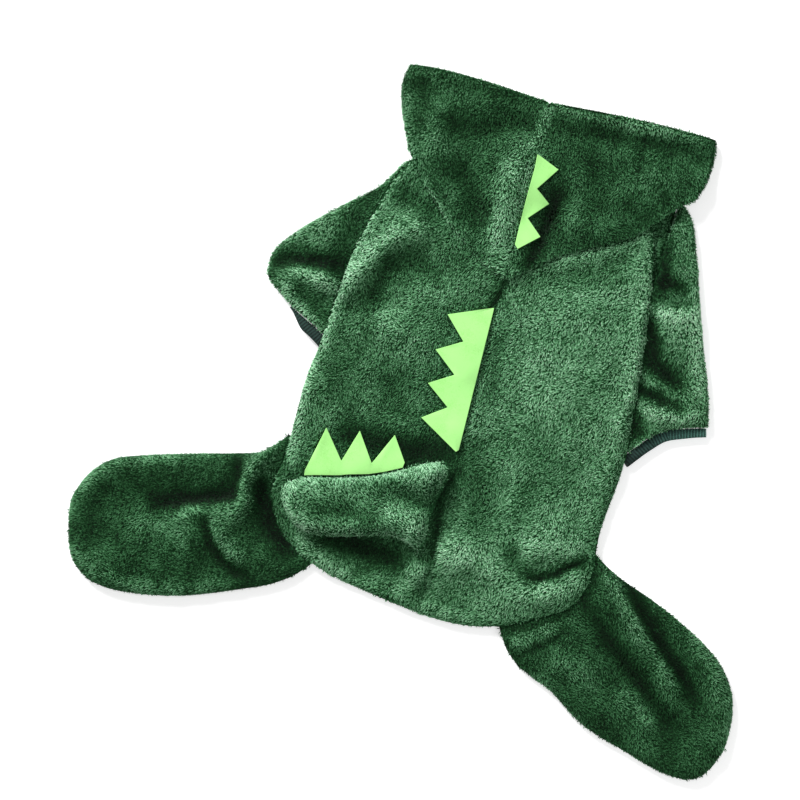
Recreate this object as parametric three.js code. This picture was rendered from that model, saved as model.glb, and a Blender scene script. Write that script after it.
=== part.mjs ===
// A hooded fleece onesie for a dog, with felt spikes and a small tail, laid flat on its belly.
// Millimetres, +Z up. The centre-back seam runs along Y and the hood's hem along X.
import * as THREE from 'three';

// The tables below are measured from the neck point, where the centre-back seam meets the hood.
// The part's origin is the middle of its footprint, so the neck point lies here.
const NECK = { x: 16, y: 101.3 };

// Cloth: the fleece with its nap, the gap left at a seam, the room between two layers, and the
// gap under a piece that lies on another's curves.
const WALL = 3;
const SEAM_GAP = 0.3;
const SLACK = 3.8;
const REST_GAP = 0.6;
const LAYER = WALL + SEAM_GAP;
const FLAT_TOP = 2 * WALL + SLACK;
const LOWEST_TOP = LAYER + WALL;
const RIM_RADIUS = 8;
const FOLD_RADIUS = 6;
const ROLL_STEPS = [0, 0.08, 0.3, 0.62, 1];
const NECK_MARGIN = 8;
const BEVEL = 1.2;

// Felt spikes, the ribbed cuffs and the tail.
const FELT = 2;
const FELT_LIFT = 0.45;
const TAIL_HEIGHT = 16;
const TAIL_RADIUS = 12;
const TAIL_MARGIN = { across: 0.04, along: 0.02 };
const CUFF_DEPTH = 9.5;
const CUFF_WALL = 1.9;
const CUFF_HEIGHT = 5.8;
const CUFF_LIFT = 0.3;
const CUFF_START = 0.9;
const CUFF_OPENS_OVER = 0.45;
const TANGENT_STEP = 0.02;
const RIB_PITCH = 3.2;
const RIB_RISE = 0.5;
const RIB_AT_FOLD = 0.4;

const COLOURS = { fleece: 0x3a7249, felt: 0xa6ee88, rib: 0x1d4541 };

// The body's outline from the left shoulder round the rump to the right shoulder.
// level is the height of its rolled edge: on the belly, or on a sleeve or leg that comes out there.
const ON_BELLY = LAYER;
const ON_LIMB = 2 * LAYER;
const BODY_OUTLINE = [
  { x: -94, y: 77, level: ON_LIMB },
  { x: -103, y: 66, level: ON_LIMB },
  { x: -113, y: 34, level: ON_LIMB },
  { x: -124, y: -10, level: ON_LIMB },
  { x: -129, y: -60, level: ON_LIMB },
  { x: -133, y: -94, level: ON_LIMB },
  { x: -136, y: -112, level: ON_BELLY },
  { x: -137, y: -136, level: ON_BELLY },
  { x: -137, y: -152, level: ON_LIMB },
  { x: -137, y: -185, level: ON_LIMB },
  { x: -142, y: -206, level: ON_LIMB },
  { x: -129, y: -235, level: ON_LIMB },
  { x: -101, y: -256, level: ON_LIMB },
  { x: -84, y: -262, level: ON_LIMB },
  { x: -62, y: -267, level: ON_BELLY },
  { x: -19, y: -274, level: ON_BELLY },
  { x: 20, y: -278, level: ON_BELLY },
  { x: 44, y: -276, level: ON_BELLY },
  { x: 60, y: -272, level: ON_LIMB },
  { x: 98, y: -253, level: ON_LIMB },
  { x: 119, y: -239, level: ON_LIMB },
  { x: 126, y: -210, level: ON_LIMB },
  { x: 123, y: -184, level: ON_LIMB },
  { x: 125, y: -160, level: ON_BELLY },
  { x: 128, y: -138, level: ON_BELLY },
  { x: 129, y: -120, level: ON_LIMB },
  { x: 127, y: -85, level: ON_LIMB },
  { x: 121, y: -15, level: ON_LIMB },
  { x: 113, y: 40, level: ON_LIMB },
  { x: 107, y: 64, level: ON_LIMB },
  { x: 104, y: 73, level: ON_LIMB },
];
const RUMP = { x: 1, y: -276 };
const SEAM_TOP = { x: -1, y: 7 };
const SEAM_END = { x: -1, y: -258 };

// The hood's edges. Its V lies on the neck, its sides are folded, and its hem is the face opening.
const HOOD_V_LEFT = [[0, 0], [-14, 5], [-33, 17], [-53, 32], [-75, 52], [-100, 81]];
const HOOD_V_RIGHT = [[0, 0], [14, 10], [32, 27], [67, 45], [96, 61], [112, 82], [132, 97]];
const HOOD_FOLD_LEFT = [[-100, 81], [-107, 97], [-115, 116], [-119, 135], [-116, 150]];
const HOOD_FOLD_RIGHT = [[132, 97], [138, 112], [140, 126], [140, 140], [138, 150]];
const HOOD_HEM_LEFT = [[0, 147], [-50, 151], [-91, 152], [-116, 150]];
const HOOD_HEM_RIGHT = [[0, 147], [40, 149], [90, 151], [138, 150]];
const THROAT_LEFT = [[0, 74], [-40, 80], [-78, 90], [-100, 81]];
const THROAT_RIGHT = [[0, 74], [45, 81], [112, 107], [132, 97]];
const HOOD_CORNERS = [{ x: -100, y: 81 }, { x: 132, y: 97 }];
const CORNER_REST = 12;
const CORNER_FALL = 22;

// Sleeves: the outer and inner folds, the armhole and the hem.
const SLEEVES = {
  left: {
    outer: [
      [-90, 83], [-100, 77], [-112, 53], [-143, 26], [-169, 1], [-186, -18], [-190, -32], [-186, -43],
    ],
    inner: [[-97, -46], [-109, -66], [-121, -84]],
    armhole: [[-90, 83], [-93, 20], [-97, -46]],
    hem: [[-186, -43], [-162, -60], [-134, -75], [-121, -84]],
    cuffFrom: 0.4,
    cuffDepthAtEnd: 2.5,
  },
  right: {
    outer: [[121, 97], [131, 94], [141, 68], [151, 38], [163, 0], [177, -38], [186, -64], [187, -75]],
    inner: [[104, -78], [113, -98], [124, -116]],
    armhole: [[121, 97], [114, 10], [104, -78]],
    hem: [[187, -75], [170, -79.5], [152, -86], [139, -98], [124, -116]],
    cuffFrom: 0.02,
    cuffDepthAtEnd: 8,
  },
};

// Legs: both edges run from the root under the body to the tip of the toe.
const LEGS = {
  left: {
    upper: [[-127, -158], [-139, -162], [-153, -179], [-172, -185], [-203, -193], [-242, -204],
      [-272, -215], [-288, -233], [-295, -253]],
    lower: [[-89, -250], [-98, -263], [-118, -280], [-145, -292], [-191, -309], [-238, -317],
      [-265, -315], [-284, -300], [-295, -261]],
    root: [[-127, -158], [-129, -190], [-131, -205], [-123, -222], [-110, -237], [-89, -250]],
  },
  right: {
    upper: [[114, -187], [130, -199], [146, -208], [178, -220], [210, -235], [240, -254],
      [257, -276], [263, -305], [261, -326]],
    lower: [[58, -261], [68, -282], [84, -298], [113, -310], [145, -331], [185, -344],
      [222, -354], [246, -352], [258, -334]],
    root: [[114, -187], [116, -210], [109, -234], [90, -247], [58, -261]],
  },
};

// The belly's edges where no sleeve or leg is sewn to it.
const BELLY_NECK = [[-60, 81.5], [0, 72], [60, 81.5], [110, 103]];
const BELLY_RIGHT_FLANK = [
  [112, -99], [122, -118], [127.5, -128], [127, -140], [124.5, -160], [122, -184],
];
const BELLY_RUMP = [[56, -270], [44, -275], [20, -277], [-19, -273], [-62, -266], [-90, -258.5]];
const BELLY_LEFT_FLANK = [
  [-136, -150], [-136, -136], [-135, -112], [-132, -99], [-128, -95], [-120.5, -86],
];

// The tail's edges, from its tip at the left to its root at the centre-back seam.
const TAIL = {
  upper: [[-130, -199], [-117, -191], [-98, -187], [-67, -178], [-45, -168], [-26, -157], [-10, -152]],
  lower: [[-132, -212], [-118, -230], [-105, -235], [-86, -233], [-55, -225], [-36, -220], [-13, -229]],
  tip: [[-130, -199], [-134, -205], [-132, -212]],
  root: [[-10, -152], [-5, -160], [-9, -183], [-12, -197], [-9, -214], [-13, -229]],
};

// Felt spikes: each row gives a point of the sewn edge and the point of the cut edge beside it.
const COMBS = {
  comb_hood: [
    { baseX: 0.6, baseY: 103, edgeX: 2.5, edgeY: 102.6 },
    { baseX: 1.2, baseY: 93, edgeX: 20, edgeY: 95.5 },
    { baseX: 0.8, baseY: 76, edgeX: 7, edgeY: 76.5 },
    { baseX: 0.6, baseY: 66, edgeX: 19.5, edgeY: 67.5 },
    { baseX: 0.6, baseY: 52, edgeX: 5.5, edgeY: 52 },
    { baseX: 0.6, baseY: 40, edgeX: 19, edgeY: 40 },
    { baseX: 0.6, baseY: 29, edgeX: 3.5, edgeY: 26 },
  ],
  comb_back: [
    { baseX: -3, baseY: -24, edgeX: -5, edgeY: -24.5 },
    { baseX: -3, baseY: -36, edgeX: -38, edgeY: -38 },
    { baseX: -3, baseY: -55, edgeX: -20.5, edgeY: -56 },
    { baseX: -3, baseY: -66, edgeX: -40.5, edgeY: -67.5 },
    { baseX: -3, baseY: -83, edgeX: -21, edgeY: -83.5 },
    { baseX: -3, baseY: -94, edgeX: -40, edgeY: -95 },
    { baseX: -3, baseY: -110, edgeX: -20, edgeY: -110 },
    { baseX: -3, baseY: -121, edgeX: -38.5, edgeY: -123 },
    { baseX: -3, baseY: -141, edgeX: -5, edgeY: -143 },
  ],
  comb_tail: [
    { baseX: -118, baseY: -190.5, edgeX: -118.4, edgeY: -186 },
    { baseX: -109, baseY: -188, edgeX: -110, edgeY: -149 },
    { baseX: -92, baseY: -184, edgeX: -92, edgeY: -172 },
    { baseX: -83, baseY: -181, edgeX: -83.5, edgeY: -145 },
    { baseX: -68, baseY: -177, edgeX: -68, edgeY: -168 },
    { baseX: -57, baseY: -172.5, edgeX: -55.5, edgeY: -141.5 },
    { baseX: -43, baseY: -165.5, edgeX: -42.5, edgeY: -161 },
  ],
};

// Folds: ridges where height is above 0 and troughs where it is below, each along a few points.
const BODY_FOLDS = [
  {
    name: 'left shoulder ridge', width: 10, height: 9,
    along: [[-62, 27], [-85, 21], [-103, 0], [-116, -24], [-122, -46]],
  },
  {
    name: 'hollow below it', width: 12, height: -3.2,
    along: [[-45, 12], [-66, -8], [-76, -28], [-78, -56]],
  },
  { name: 'left shoulder blade', width: 20, height: 3.6, along: [[-80, -40], [-55, -60]] },
  {
    name: 'hollow by the lowest spike', width: 16, height: -3.2,
    along: [[-80, -88], [-52, -116], [-18, -138]],
  },
  { name: 'left flank', width: 9, height: 4, along: [[-119, -58], [-122, -110], [-118, -165]] },
  {
    name: 'hollow right of the seam', width: 13, height: -3,
    along: [[9, -45], [20, -95], [27, -145], [42, -195]],
  },
  { name: 'right back', width: 27, height: 4.5, along: [[72, 12], [82, -60], [74, -140]] },
  {
    name: 'right flank', width: 9, height: 3.4,
    along: [[108, 40], [114, -20], [118, -90], [114, -165]],
  },
  { name: 'right hip ridge', width: 11, height: 7, along: [[70, -214], [86, -198], [110, -186]] },
  { name: 'right hip crease', width: 7, height: -3.2, along: [[72, -232], [93, -218], [108, -205]] },
  { name: 'right rump ridge', width: 10, height: 5.5, along: [[48, -243], [86, -238], [110, -222]] },
  { name: 'rump ridge', width: 9, height: 6, along: [[-8, -226], [28, -224], [60, -232]] },
  { name: 'rump crease', width: 7, height: -3, along: [[-64, -256], [-5, -258], [52, -259]] },
  { name: 'ridge under the tail root', width: 7, height: 4.5, along: [[-13, -232], [-12, -265]] },
  {
    name: 'hollow under the tail', width: 11, height: -3.2,
    along: [[-80, -240], [-50, -243], [-26, -238]],
  },
];
const HOOD_FOLDS = [
  {
    name: 'ridge beside the seam', width: 11, height: 8,
    along: [[-8, 114], [-14, 85], [-13, 50], [-13, 12]],
  },
  {
    name: 'hollow beside the spikes', width: 9, height: -3,
    along: [[26, 90], [27, 60], [21, 36], [12, 16]],
  },
  { name: 'upper left hollow', width: 12, height: -3, along: [[-78, 106], [-58, 104], [-36, 100]] },
  { name: 'lower left hollow', width: 13, height: -2.8, along: [[-62, 70], [-45, 62], [-30, 52]] },
  { name: 'left hollow at the hem', width: 9, height: -3, along: [[-30, 128], [-8, 124]] },
  { name: 'left corner hollow', width: 10, height: -2.6, along: [[-104, 138], [-80, 134]] },
  { name: 'left bulge', width: 14, height: 4.4, along: [[-80, 126], [-92, 104], [-84, 88]] },
  { name: 'bulge by the spikes', width: 11, height: 4, along: [[38, 104], [42, 84]] },
  { name: 'right bulge', width: 20, height: 4, along: [[62, 104], [102, 100], [122, 114]] },
  { name: 'left hem', width: 6, height: 2.4, along: [[-108, 147], [-50, 146], [-4, 144]] },
  { name: 'right hem', width: 6, height: 4.2, along: [[4, 144], [70, 146], [130, 146]] },
  {
    name: 'crease below the right hem', width: 6, height: -2.6,
    along: [[8, 133], [70, 134], [124, 131]],
  },
];
const LEG_FOLDS = {
  left: [
    {
      name: 'long hollow', width: 13, height: -3.3,
      along: [[-272, -266], [-262, -240], [-236, -236], [-204, -234], [-176, -224], [-163, -206]],
    },
    {
      name: 'ridge below it', width: 8, height: 5.4,
      along: [[-206, -246], [-186, -234], [-166, -230]],
    },
    {
      name: 'flap', width: 8, height: 9,
      along: [[-145, -172], [-157, -186], [-161, -205], [-158, -224], [-170, -240]],
    },
    { name: 'lip of the flap', width: 8, height: 8, along: [[-176, -240], [-170, -253], [-148, -268]] },
    {
      name: 'crease under the lip', width: 7, height: -3.3,
      along: [[-185, -248], [-176, -264], [-146, -282]],
    },
    {
      name: 'pocket at the body', width: 9, height: -3.2,
      along: [[-150, -212], [-140, -232], [-124, -250], [-104, -262]],
    },
    { name: 'sole', width: 17, height: 4.4, along: [[-246, -264], [-214, -272], [-188, -284]] },
    {
      name: 'toe rim', width: 9, height: 3,
      along: [
        [-184, -198], [-240, -216], [-276, -230], [-284, -255], [-272, -296], [-236, -304], [-180, -292],
      ],
    },
  ],
  right: [
    {
      name: 'long ridge', width: 8.5, height: 8.4,
      along: [[143, -212], [158, -232], [181, -262], [205, -288], [226, -314]],
    },
    {
      name: 'hollow above it', width: 9, height: -3.3,
      along: [[164, -222], [190, -248], [214, -272], [236, -300]],
    },
    {
      name: 'hollow below it', width: 10, height: -3.3,
      along: [[148, -256], [171, -282], [194, -304], [218, -326]],
    },
    {
      name: 'root fold', width: 7, height: 6.4,
      along: [[84, -288], [98, -268], [113, -252], [124, -236]],
    },
    { name: 'lower rim fold', width: 7, height: 4.6, along: [[118, -306], [138, -318], [162, -330]] },
    { name: 'ankle bulge', width: 15, height: 3.4, along: [[118, -274], [142, -292]] },
    {
      name: 'toe rim', width: 9, height: 3,
      along: [[186, -232], [226, -256], [248, -286], [250, -320], [230, -340], [186, -334]],
    },
  ],
};
const SLEEVE_FOLDS = {
  left: [
    { name: 'hollow', width: 8, height: -3.2, along: [[-116, -24], [-150, -24], [-174, -27]] },
    { name: 'ridge', width: 7.5, height: 6.6, along: [[-118, -40], [-150, -37], [-180, -38]] },
    { name: 'upper bulge', width: 13, height: 4.2, along: [[-138, 18], [-158, -6]] },
    { name: 'hollow at the shoulder', width: 9, height: -3, along: [[-117, 48], [-128, 14]] },
  ],
  right: [
    { name: 'upper hollow', width: 8, height: -3.2, along: [[118, 32], [138, 25], [154, 20]] },
    { name: 'upper ridge', width: 8, height: 6.6, along: [[118, 7], [140, 9], [156, 13]] },
    { name: 'middle hollow', width: 8, height: -3.2, along: [[124, -12], [138, -35], [164, -49]] },
    { name: 'lower ridge', width: 7, height: 5, along: [[126, -72], [150, -70], [174, -65]] },
    { name: 'lower hollow', width: 6, height: -3, along: [[126, -61], [156, -61]] },
  ],
};
const TAIL_FOLDS = [
  { name: 'pinch at the root', width: 9, height: -8, along: [[-4, -190], [-26, -190], [-58, -191]] },
  { name: 'sag', width: 14, height: -2.4, along: [[-50, -206], [-96, -212]] },
];

// How finely each piece of cloth is divided, along its rows and across them.
const GRIDS = {
  back: { rows: 28, columns: 8 },
  hood: { rows: 13, columns: 8, underColumns: 3 },
  sleeve: { rows: 9, columns: 5, underColumns: 4 },
  legUpper: { rows: 19, columns: 7 },
  tailUpper: { rows: 13, columns: 3 },
  tailLower: { rows: 10, columns: 5 },
};
const RIM_STEPS = 40;

const clamp = (value, low, high) => Math.min(high, Math.max(low, value));
const mix = (a, b, share) => a + (b - a) * share;
const smoothStep = (share) => {
  const t = clamp(share, 0, 1);
  return t * t * (3 - 2 * t);
};

// A smooth line through [x, y] points. It gives the point at a share of its length.
function lineThrough(points) {
  const curve = new THREE.CatmullRomCurve3(
    points.map(([x, y]) => new THREE.Vector3(x, y, 0)), false, 'centripetal');
  curve.arcLengthDivisions = 400;
  return (share) => {
    const { x, y } = curve.getPointAt(clamp(share, 0, 1));
    return { x, y };
  };
}

const shifted = (line, dx, dy) => (share) => {
  const point = line(share);
  return { x: point.x + dx, y: point.y + dy };
};

// The part of a line between two shares of its length, which may run backwards.
const partOf = (line, from, to) => (share) => line(mix(from, to, share));

function sampled(line, count) {
  return Array.from({ length: count + 1 }, (_, i) => line(i / count));
}

// A rim knows how far a point lies from it, on which side, and the height of the edge there.
class Rim {
  constructor(points, levels, inwardSide) {
    this.points = points;
    this.levels = levels;
    this.normals = points.map((_, i) => {
      const before = points[Math.max(i - 1, 0)];
      const after = points[Math.min(i + 1, points.length - 1)];
      const length = Math.hypot(after.x - before.x, after.y - before.y);
      return {
        x: (-(after.y - before.y) / length) * inwardSide,
        y: ((after.x - before.x) / length) * inwardSide,
      };
    });
  }

  near(x, y) {
    let best = { squared: Infinity };
    for (let i = 0; i + 1 < this.points.length; i += 1) {
      const a = this.points[i];
      const b = this.points[i + 1];
      const dx = b.x - a.x;
      const dy = b.y - a.y;
      const t = clamp(((x - a.x) * dx + (y - a.y) * dy) / (dx * dx + dy * dy), 0, 1);
      const squared = (x - a.x - t * dx) ** 2 + (y - a.y - t * dy) ** 2;
      if (squared < best.squared) best = { squared, i, t };
    }
    const { i, t } = best;
    const inX = mix(this.normals[i].x, this.normals[i + 1].x, t);
    const inY = mix(this.normals[i].y, this.normals[i + 1].y, t);
    const length = Math.hypot(inX, inY);
    const atX = mix(this.points[i].x, this.points[i + 1].x, t);
    const atY = mix(this.points[i].y, this.points[i + 1].y, t);
    const side = Math.sign((x - atX) * inX + (y - atY) * inY);
    return {
      distance: Math.sqrt(best.squared),
      side,
      inX: inX / length,
      inY: inY / length,
      level: mix(this.levels[i], this.levels[i + 1], t),
    };
  }
}

function rimThrough(points, level, inwardSide) {
  const spread = sampled(lineThrough(points), 8 * points.length);
  return new Rim(spread, spread.map(() => level), inwardSide);
}

// The height that a table of folds adds at a point. A fold fades out at both its ends.
function foldHeight(folds, x, y) {
  let sum = 0;
  for (const { along, width, height } of folds) {
    let nearest = Infinity;
    let place = 0;
    for (let i = 0; i + 1 < along.length; i += 1) {
      const [ax, ay] = along[i];
      const dx = along[i + 1][0] - ax;
      const dy = along[i + 1][1] - ay;
      const t = clamp(((x - ax) * dx + (y - ay) * dy) / (dx * dx + dy * dy), 0, 1);
      const distance = Math.hypot(x - ax - t * dx, y - ay - t * dy);
      if (distance < nearest) {
        nearest = distance;
        place = (i + t) / (along.length - 1);
      }
    }
    sum += height * (1 - (2 * place - 1) ** 4) * Math.exp(-((nearest / width) ** 2));
  }
  return sum;
}

// A four-sided patch filled in between its side lines and its start and end lines.
function patchBetween({ sideA, sideB, start, end }) {
  const corner = { a0: sideA(0), b0: sideB(0), a1: sideA(1), b1: sideB(1) };
  const blend = (axis, u, v) => mix(sideA(v)[axis], sideB(v)[axis], u)
    + mix(start(u)[axis], end(u)[axis], v)
    - mix(mix(corner.a0[axis], corner.b0[axis], u), mix(corner.a1[axis], corner.b1[axis], u), v);
  return (u, v) => ({ x: blend('x', u, v), y: blend('y', u, v) });
}

const straight = (from, to) => (share) => ({ x: mix(from.x, to.x, share), y: mix(from.y, to.y, share) });

// Shares across a row: close together where an edge rolls over, even in between.
function sharesAcross(length, radius, rolledA, rolledB, count) {
  const reach = Math.min(radius, length * 0.3) / length;
  const first = rolledA ? ROLL_STEPS.map((step) => step * reach) : [0];
  const last = rolledB ? ROLL_STEPS.map((step) => 1 - step * reach).reverse() : [1];
  const from = first.at(-1);
  const to = last[0];
  const between = Array.from({ length: count }, (_, i) => mix(from, to, (i + 1) / (count + 1)));
  return [...first, ...between, ...last];
}

// One wall of cloth from rows of sections. Each section is a run of outer and inner points.
function clothGeometry(sections, round) {
  const rows = sections.length;
  const columns = sections[0].length;
  const positions = [];
  for (const skin of ['outer', 'inner']) {
    for (const section of sections) {
      for (const pair of section) positions.push(...pair[skin]);
    }
  }
  const outer = (i, j) => i * columns + (j % columns);
  const inner = (i, j) => rows * columns + outer(i, j);
  const index = [];
  const quad = (a, b, c, d) => index.push(a, b, c, a, c, d);
  const spans = round ? columns : columns - 1;
  for (let i = 0; i + 1 < rows; i += 1) {
    for (let j = 0; j < spans; j += 1) {
      quad(outer(i, j), outer(i, j + 1), outer(i + 1, j + 1), outer(i + 1, j));
      quad(inner(i, j), inner(i + 1, j), inner(i + 1, j + 1), inner(i, j + 1));
    }
  }
  for (let j = 0; j < spans; j += 1) {
    quad(outer(0, j), inner(0, j), inner(0, j + 1), outer(0, j + 1));
    quad(outer(rows - 1, j), outer(rows - 1, j + 1), inner(rows - 1, j + 1), inner(rows - 1, j));
  }
  if (!round) {
    for (let i = 0; i + 1 < rows; i += 1) {
      quad(outer(i, 0), outer(i + 1, 0), inner(i + 1, 0), inner(i, 0));
      quad(outer(i, spans), inner(i, spans), inner(i + 1, spans), outer(i + 1, spans));
    }
  }
  return facingOut(positions, index);
}

function facingOut(positions, index) {
  const point = (i) => new THREE.Vector3().fromArray(positions, 3 * i);
  let volume = 0;
  for (let i = 0; i < index.length; i += 3) {
    const [a, b, c] = [point(index[i]), point(index[i + 1]), point(index[i + 2])];
    volume += a.dot(b.cross(c));
  }
  const geometry = new THREE.BufferGeometry();
  geometry.setAttribute('position', new THREE.Float32BufferAttribute(positions, 3));
  geometry.setIndex(volume > 0 ? index : index.toReversed());
  geometry.computeVertexNormals();
  return geometry;
}

const rise = (distance, radius) => {
  const share = 1 - clamp(distance / radius, 0, 1);
  return Math.sqrt(1 - share * share);
};

// The outer and inner point of an upper layer, which rolls down to the rim's level at its edge.
function upperPair({ x, y }, rim, radius, top) {
  const { distance, inX, inY, level } = rim.near(x, y);
  const up = rise(distance, radius);
  const inset = WALL * (1 - clamp(distance / radius, 0, 1));
  return {
    outer: [x, y, mix(level, top, up)],
    inner: [x + inX * inset, y + inY * inset, mix(level, top - WALL, up)],
  };
}

// The same for a lower layer, whose underside is at a given height inside the rim.
function lowerPair({ x, y }, rim, radius, underside) {
  const { distance, inX, inY, level } = rim.near(x, y);
  const down = rise(distance, radius);
  const inset = WALL * (1 - clamp(distance / radius, 0, 1));
  return {
    outer: [x, y, mix(level, underside, down)],
    inner: [x + inX * inset, y + inY * inset, mix(level, underside + WALL, down)],
  };
}

function upperSheet({ patch, rows, columns, rolledA, rolledB, rim, radius, top }) {
  return Array.from({ length: rows + 1 }, (_, i) => {
    const v = i / rows;
    const [a, b] = [patch(0, v), patch(1, v)];
    const length = Math.hypot(b.x - a.x, b.y - a.y);
    return sharesAcross(length, radius, rolledA, rolledB, columns).map((u) => {
      const point = patch(u, v);
      return upperPair(point, rim, radius, top(point.x, point.y));
    });
  });
}

// The body: two back panels that meet at the centre-back seam.
const bodyLine = lineThrough(BODY_OUTLINE.map(({ x, y }) => [x, y]));
const BODY_STEPS = 240;
const bodyRim = (() => {
  const points = sampled(bodyLine, BODY_STEPS);
  const levels = points.map(({ x, y }) => {
    const ranked = BODY_OUTLINE
      .map((row) => ({ level: row.level, away: Math.hypot(row.x - x, row.y - y) }))
      .sort((p, q) => p.away - q.away);
    return mix(ranked[0].level, ranked[1].level, ranked[0].away / (ranked[0].away + ranked[1].away));
  });
  return new Rim(points, levels, 1);
})();
const rumpShare = (() => {
  const away = sampled(bodyLine, BODY_STEPS).map(({ x, y }) => Math.hypot(x - RUMP.x, y - RUMP.y));
  return away.indexOf(Math.min(...away)) / BODY_STEPS;
})();

const SEAM_DIP = { depth: 1.3, width: 4 };
const RUMP_BLEND = 0.05;
function bodyTop(x, y) {
  const seamDip = SEAM_DIP.depth * Math.exp(-(((x - SEAM_TOP.x) / SEAM_DIP.width) ** 2));
  return Math.max(LOWEST_TOP, FLAT_TOP + foldHeight(BODY_FOLDS, x, y) - seamDip);
}

// The top face of the body's cloth with its rolled edge, which other pieces lie on.
function bodySurface(x, y) {
  const { distance, level } = bodyRim.near(x, y);
  return mix(level, bodyTop(x, y), rise(distance, RIM_RADIUS));
}

function backPanel(sign) {
  const seam = shifted(straight(SEAM_TOP, SEAM_END), sign * SEAM_GAP / 2, 0);
  const rump = { x: SEAM_END.x + sign * SEAM_GAP / 2, y: bodyLine(rumpShare).y };
  const outline = partOf(bodyLine, sign < 0 ? 0 : 1, rumpShare);
  const rumpShift = rump.x - bodyLine(rumpShare).x;
  const side = (share) => {
    const point = outline(share);
    return { x: point.x + rumpShift * smoothStep((share - 1 + RUMP_BLEND) / RUMP_BLEND), y: point.y };
  };
  const neck = neckEdge(sign < 0 ? HOOD_V_LEFT : HOOD_V_RIGHT, seam(0), side(0));
  const patch = patchBetween({
    sideA: seam, sideB: side, start: neck, end: straight(seam(1), side(1)),
  });
  return clothGeometry(upperSheet({
    patch, ...GRIDS.back, rolledA: false, rolledB: true, rim: bodyRim, radius: RIM_RADIUS, top: bodyTop,
  }), false);
}

// The back's neck edge lies a margin inside the hood's V, between two given end points.
function neckEdge(hoodV, from, to) {
  const line = lineThrough(hoodV);
  const end = line(1);
  return (share) => {
    const along = share * Math.hypot(to.x - from.x, to.y - from.y)
      / Math.hypot(end.x - hoodV[0][0], end.y - hoodV[0][1]);
    const point = line(along);
    const straightPoint = straight(line(0), line(1))(along);
    const base = straight(from, to)(share);
    const fade = Math.sin(Math.PI * share);
    return {
      x: base.x + (point.x - straightPoint.x) * fade,
      y: base.y + (point.y - straightPoint.y) * fade,
    };
  };
}

// The hood: each half is one cloth, folded at its side, with an upper and an under layer.
function hoodVDistance(x, y) {
  return Math.min(...[hoodVLeftRim, hoodVRightRim].map((rim) => {
    const { distance, side } = rim.near(x, y);
    return side < 0 ? 0 : distance;
  }));
}
const hoodVLeftRim = rimThrough(HOOD_V_LEFT, 0, -1);
const hoodVRightRim = rimThrough(HOOD_V_RIGHT, 0, 1);

// How high the under layer lies: on the floor, but on the sleeves at the two lower corners.
function hoodUnderside(x, y) {
  const away = Math.min(...HOOD_CORNERS.map((corner) => Math.hypot(x - corner.x, y - corner.y)));
  return ON_LIMB * (1 - smoothStep((away - CORNER_REST) / CORNER_FALL));
}

const HOOD_EASE = 22;
const HOOD_CLEAR = NECK_MARGIN + 3;
function hoodTop(x, y) {
  const onBody = bodySurface(x, y) + REST_GAP + WALL;
  const free = FLAT_TOP + hoodUnderside(x, y) + foldHeight(HOOD_FOLDS, x, y);
  const share = smoothStep((hoodVDistance(x, y) - HOOD_CLEAR) / HOOD_EASE);
  const over = mix(Math.max(onBody, ON_LIMB + 2 * LAYER), free, share);
  return Math.max(over, hoodUnderside(x, y) + LAYER + WALL);
}

function hoodHalf(sign) {
  const [vEdge, fold, hem, throat] = sign < 0
    ? [HOOD_V_LEFT, HOOD_FOLD_LEFT, HOOD_HEM_LEFT, THROAT_LEFT]
    : [HOOD_V_RIGHT, HOOD_FOLD_RIGHT, HOOD_HEM_RIGHT, THROAT_RIGHT];
  const move = (points) => points.map(([x, y]) => [x === 0 ? sign * SEAM_GAP / 2 : x, y]);
  const foldLine = lineThrough(fold);
  const hemLine = lineThrough(move(hem));
  const vLine = lineThrough(move(vEdge));
  const throatLine = lineThrough(move(throat));
  const rimPoints = sampled(foldLine, RIM_STEPS);
  const levels = rimPoints.map(({ x, y }) => {
    const raised = hoodUnderside(x, y) / ON_LIMB;
    return mix(FLAT_TOP / 2, ON_LIMB + LAYER, raised);
  });
  const rim = new Rim(rimPoints, levels, sign < 0 ? -1 : 1);
  const upper = patchBetween({
    sideA: straight(vLine(0), hemLine(0)), sideB: foldLine, start: vLine, end: hemLine,
  });
  const under = patchBetween({
    sideA: straight(throatLine(0), hemLine(0)), sideB: foldLine, start: throatLine, end: hemLine,
  });
  const { rows, columns, underColumns } = GRIDS.hood;
  const sections = Array.from({ length: rows + 1 }, (_, i) => {
    const v = i / rows;
    const widthOf = (patch) => {
      const [a, b] = [patch(0, v), patch(1, v)];
      return Math.hypot(b.x - a.x, b.y - a.y);
    };
    const above = sharesAcross(widthOf(upper), FOLD_RADIUS, false, true, columns).map((u) => {
      const point = upper(u, v);
      return upperPair(point, rim, FOLD_RADIUS, hoodTop(point.x, point.y));
    });
    const below = sharesAcross(widthOf(under), FOLD_RADIUS, false, true, underColumns).map((u) => {
      const point = under(u, v);
      return lowerPair(point, rim, FOLD_RADIUS, hoodUnderside(point.x, point.y));
    });
    return [...above, ...below.reverse().slice(1)];
  });
  return clothGeometry(sections, false);
}

// A limb's top rises from one layer under the body's edge to its full height outside it.
const LIMB_EASE = 13;
const LIMB_CLEAR = 2;
function limbTop(folds, x, y) {
  const { distance, side } = bodyRim.near(x, y);
  const outside = side < 0 ? distance : 0;
  const share = smoothStep((outside - LIMB_CLEAR) / LIMB_EASE);
  return mix(LOWEST_TOP, Math.max(LOWEST_TOP, FLAT_TOP + foldHeight(folds, x, y)), share);
}

// A sleeve is a tube laid flat, with a fold at each side.
function sleeveTop(sleeve, folds) {
  const corner = HOOD_CORNERS[sleeve === SLEEVES.left ? 0 : 1];
  return (x, y) => {
    const away = Math.hypot(x - corner.x, y - corner.y) - CORNER_REST;
    return mix(LOWEST_TOP, limbTop(folds, x, y), smoothStep(away / LIMB_EASE));
  };
}

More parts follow.
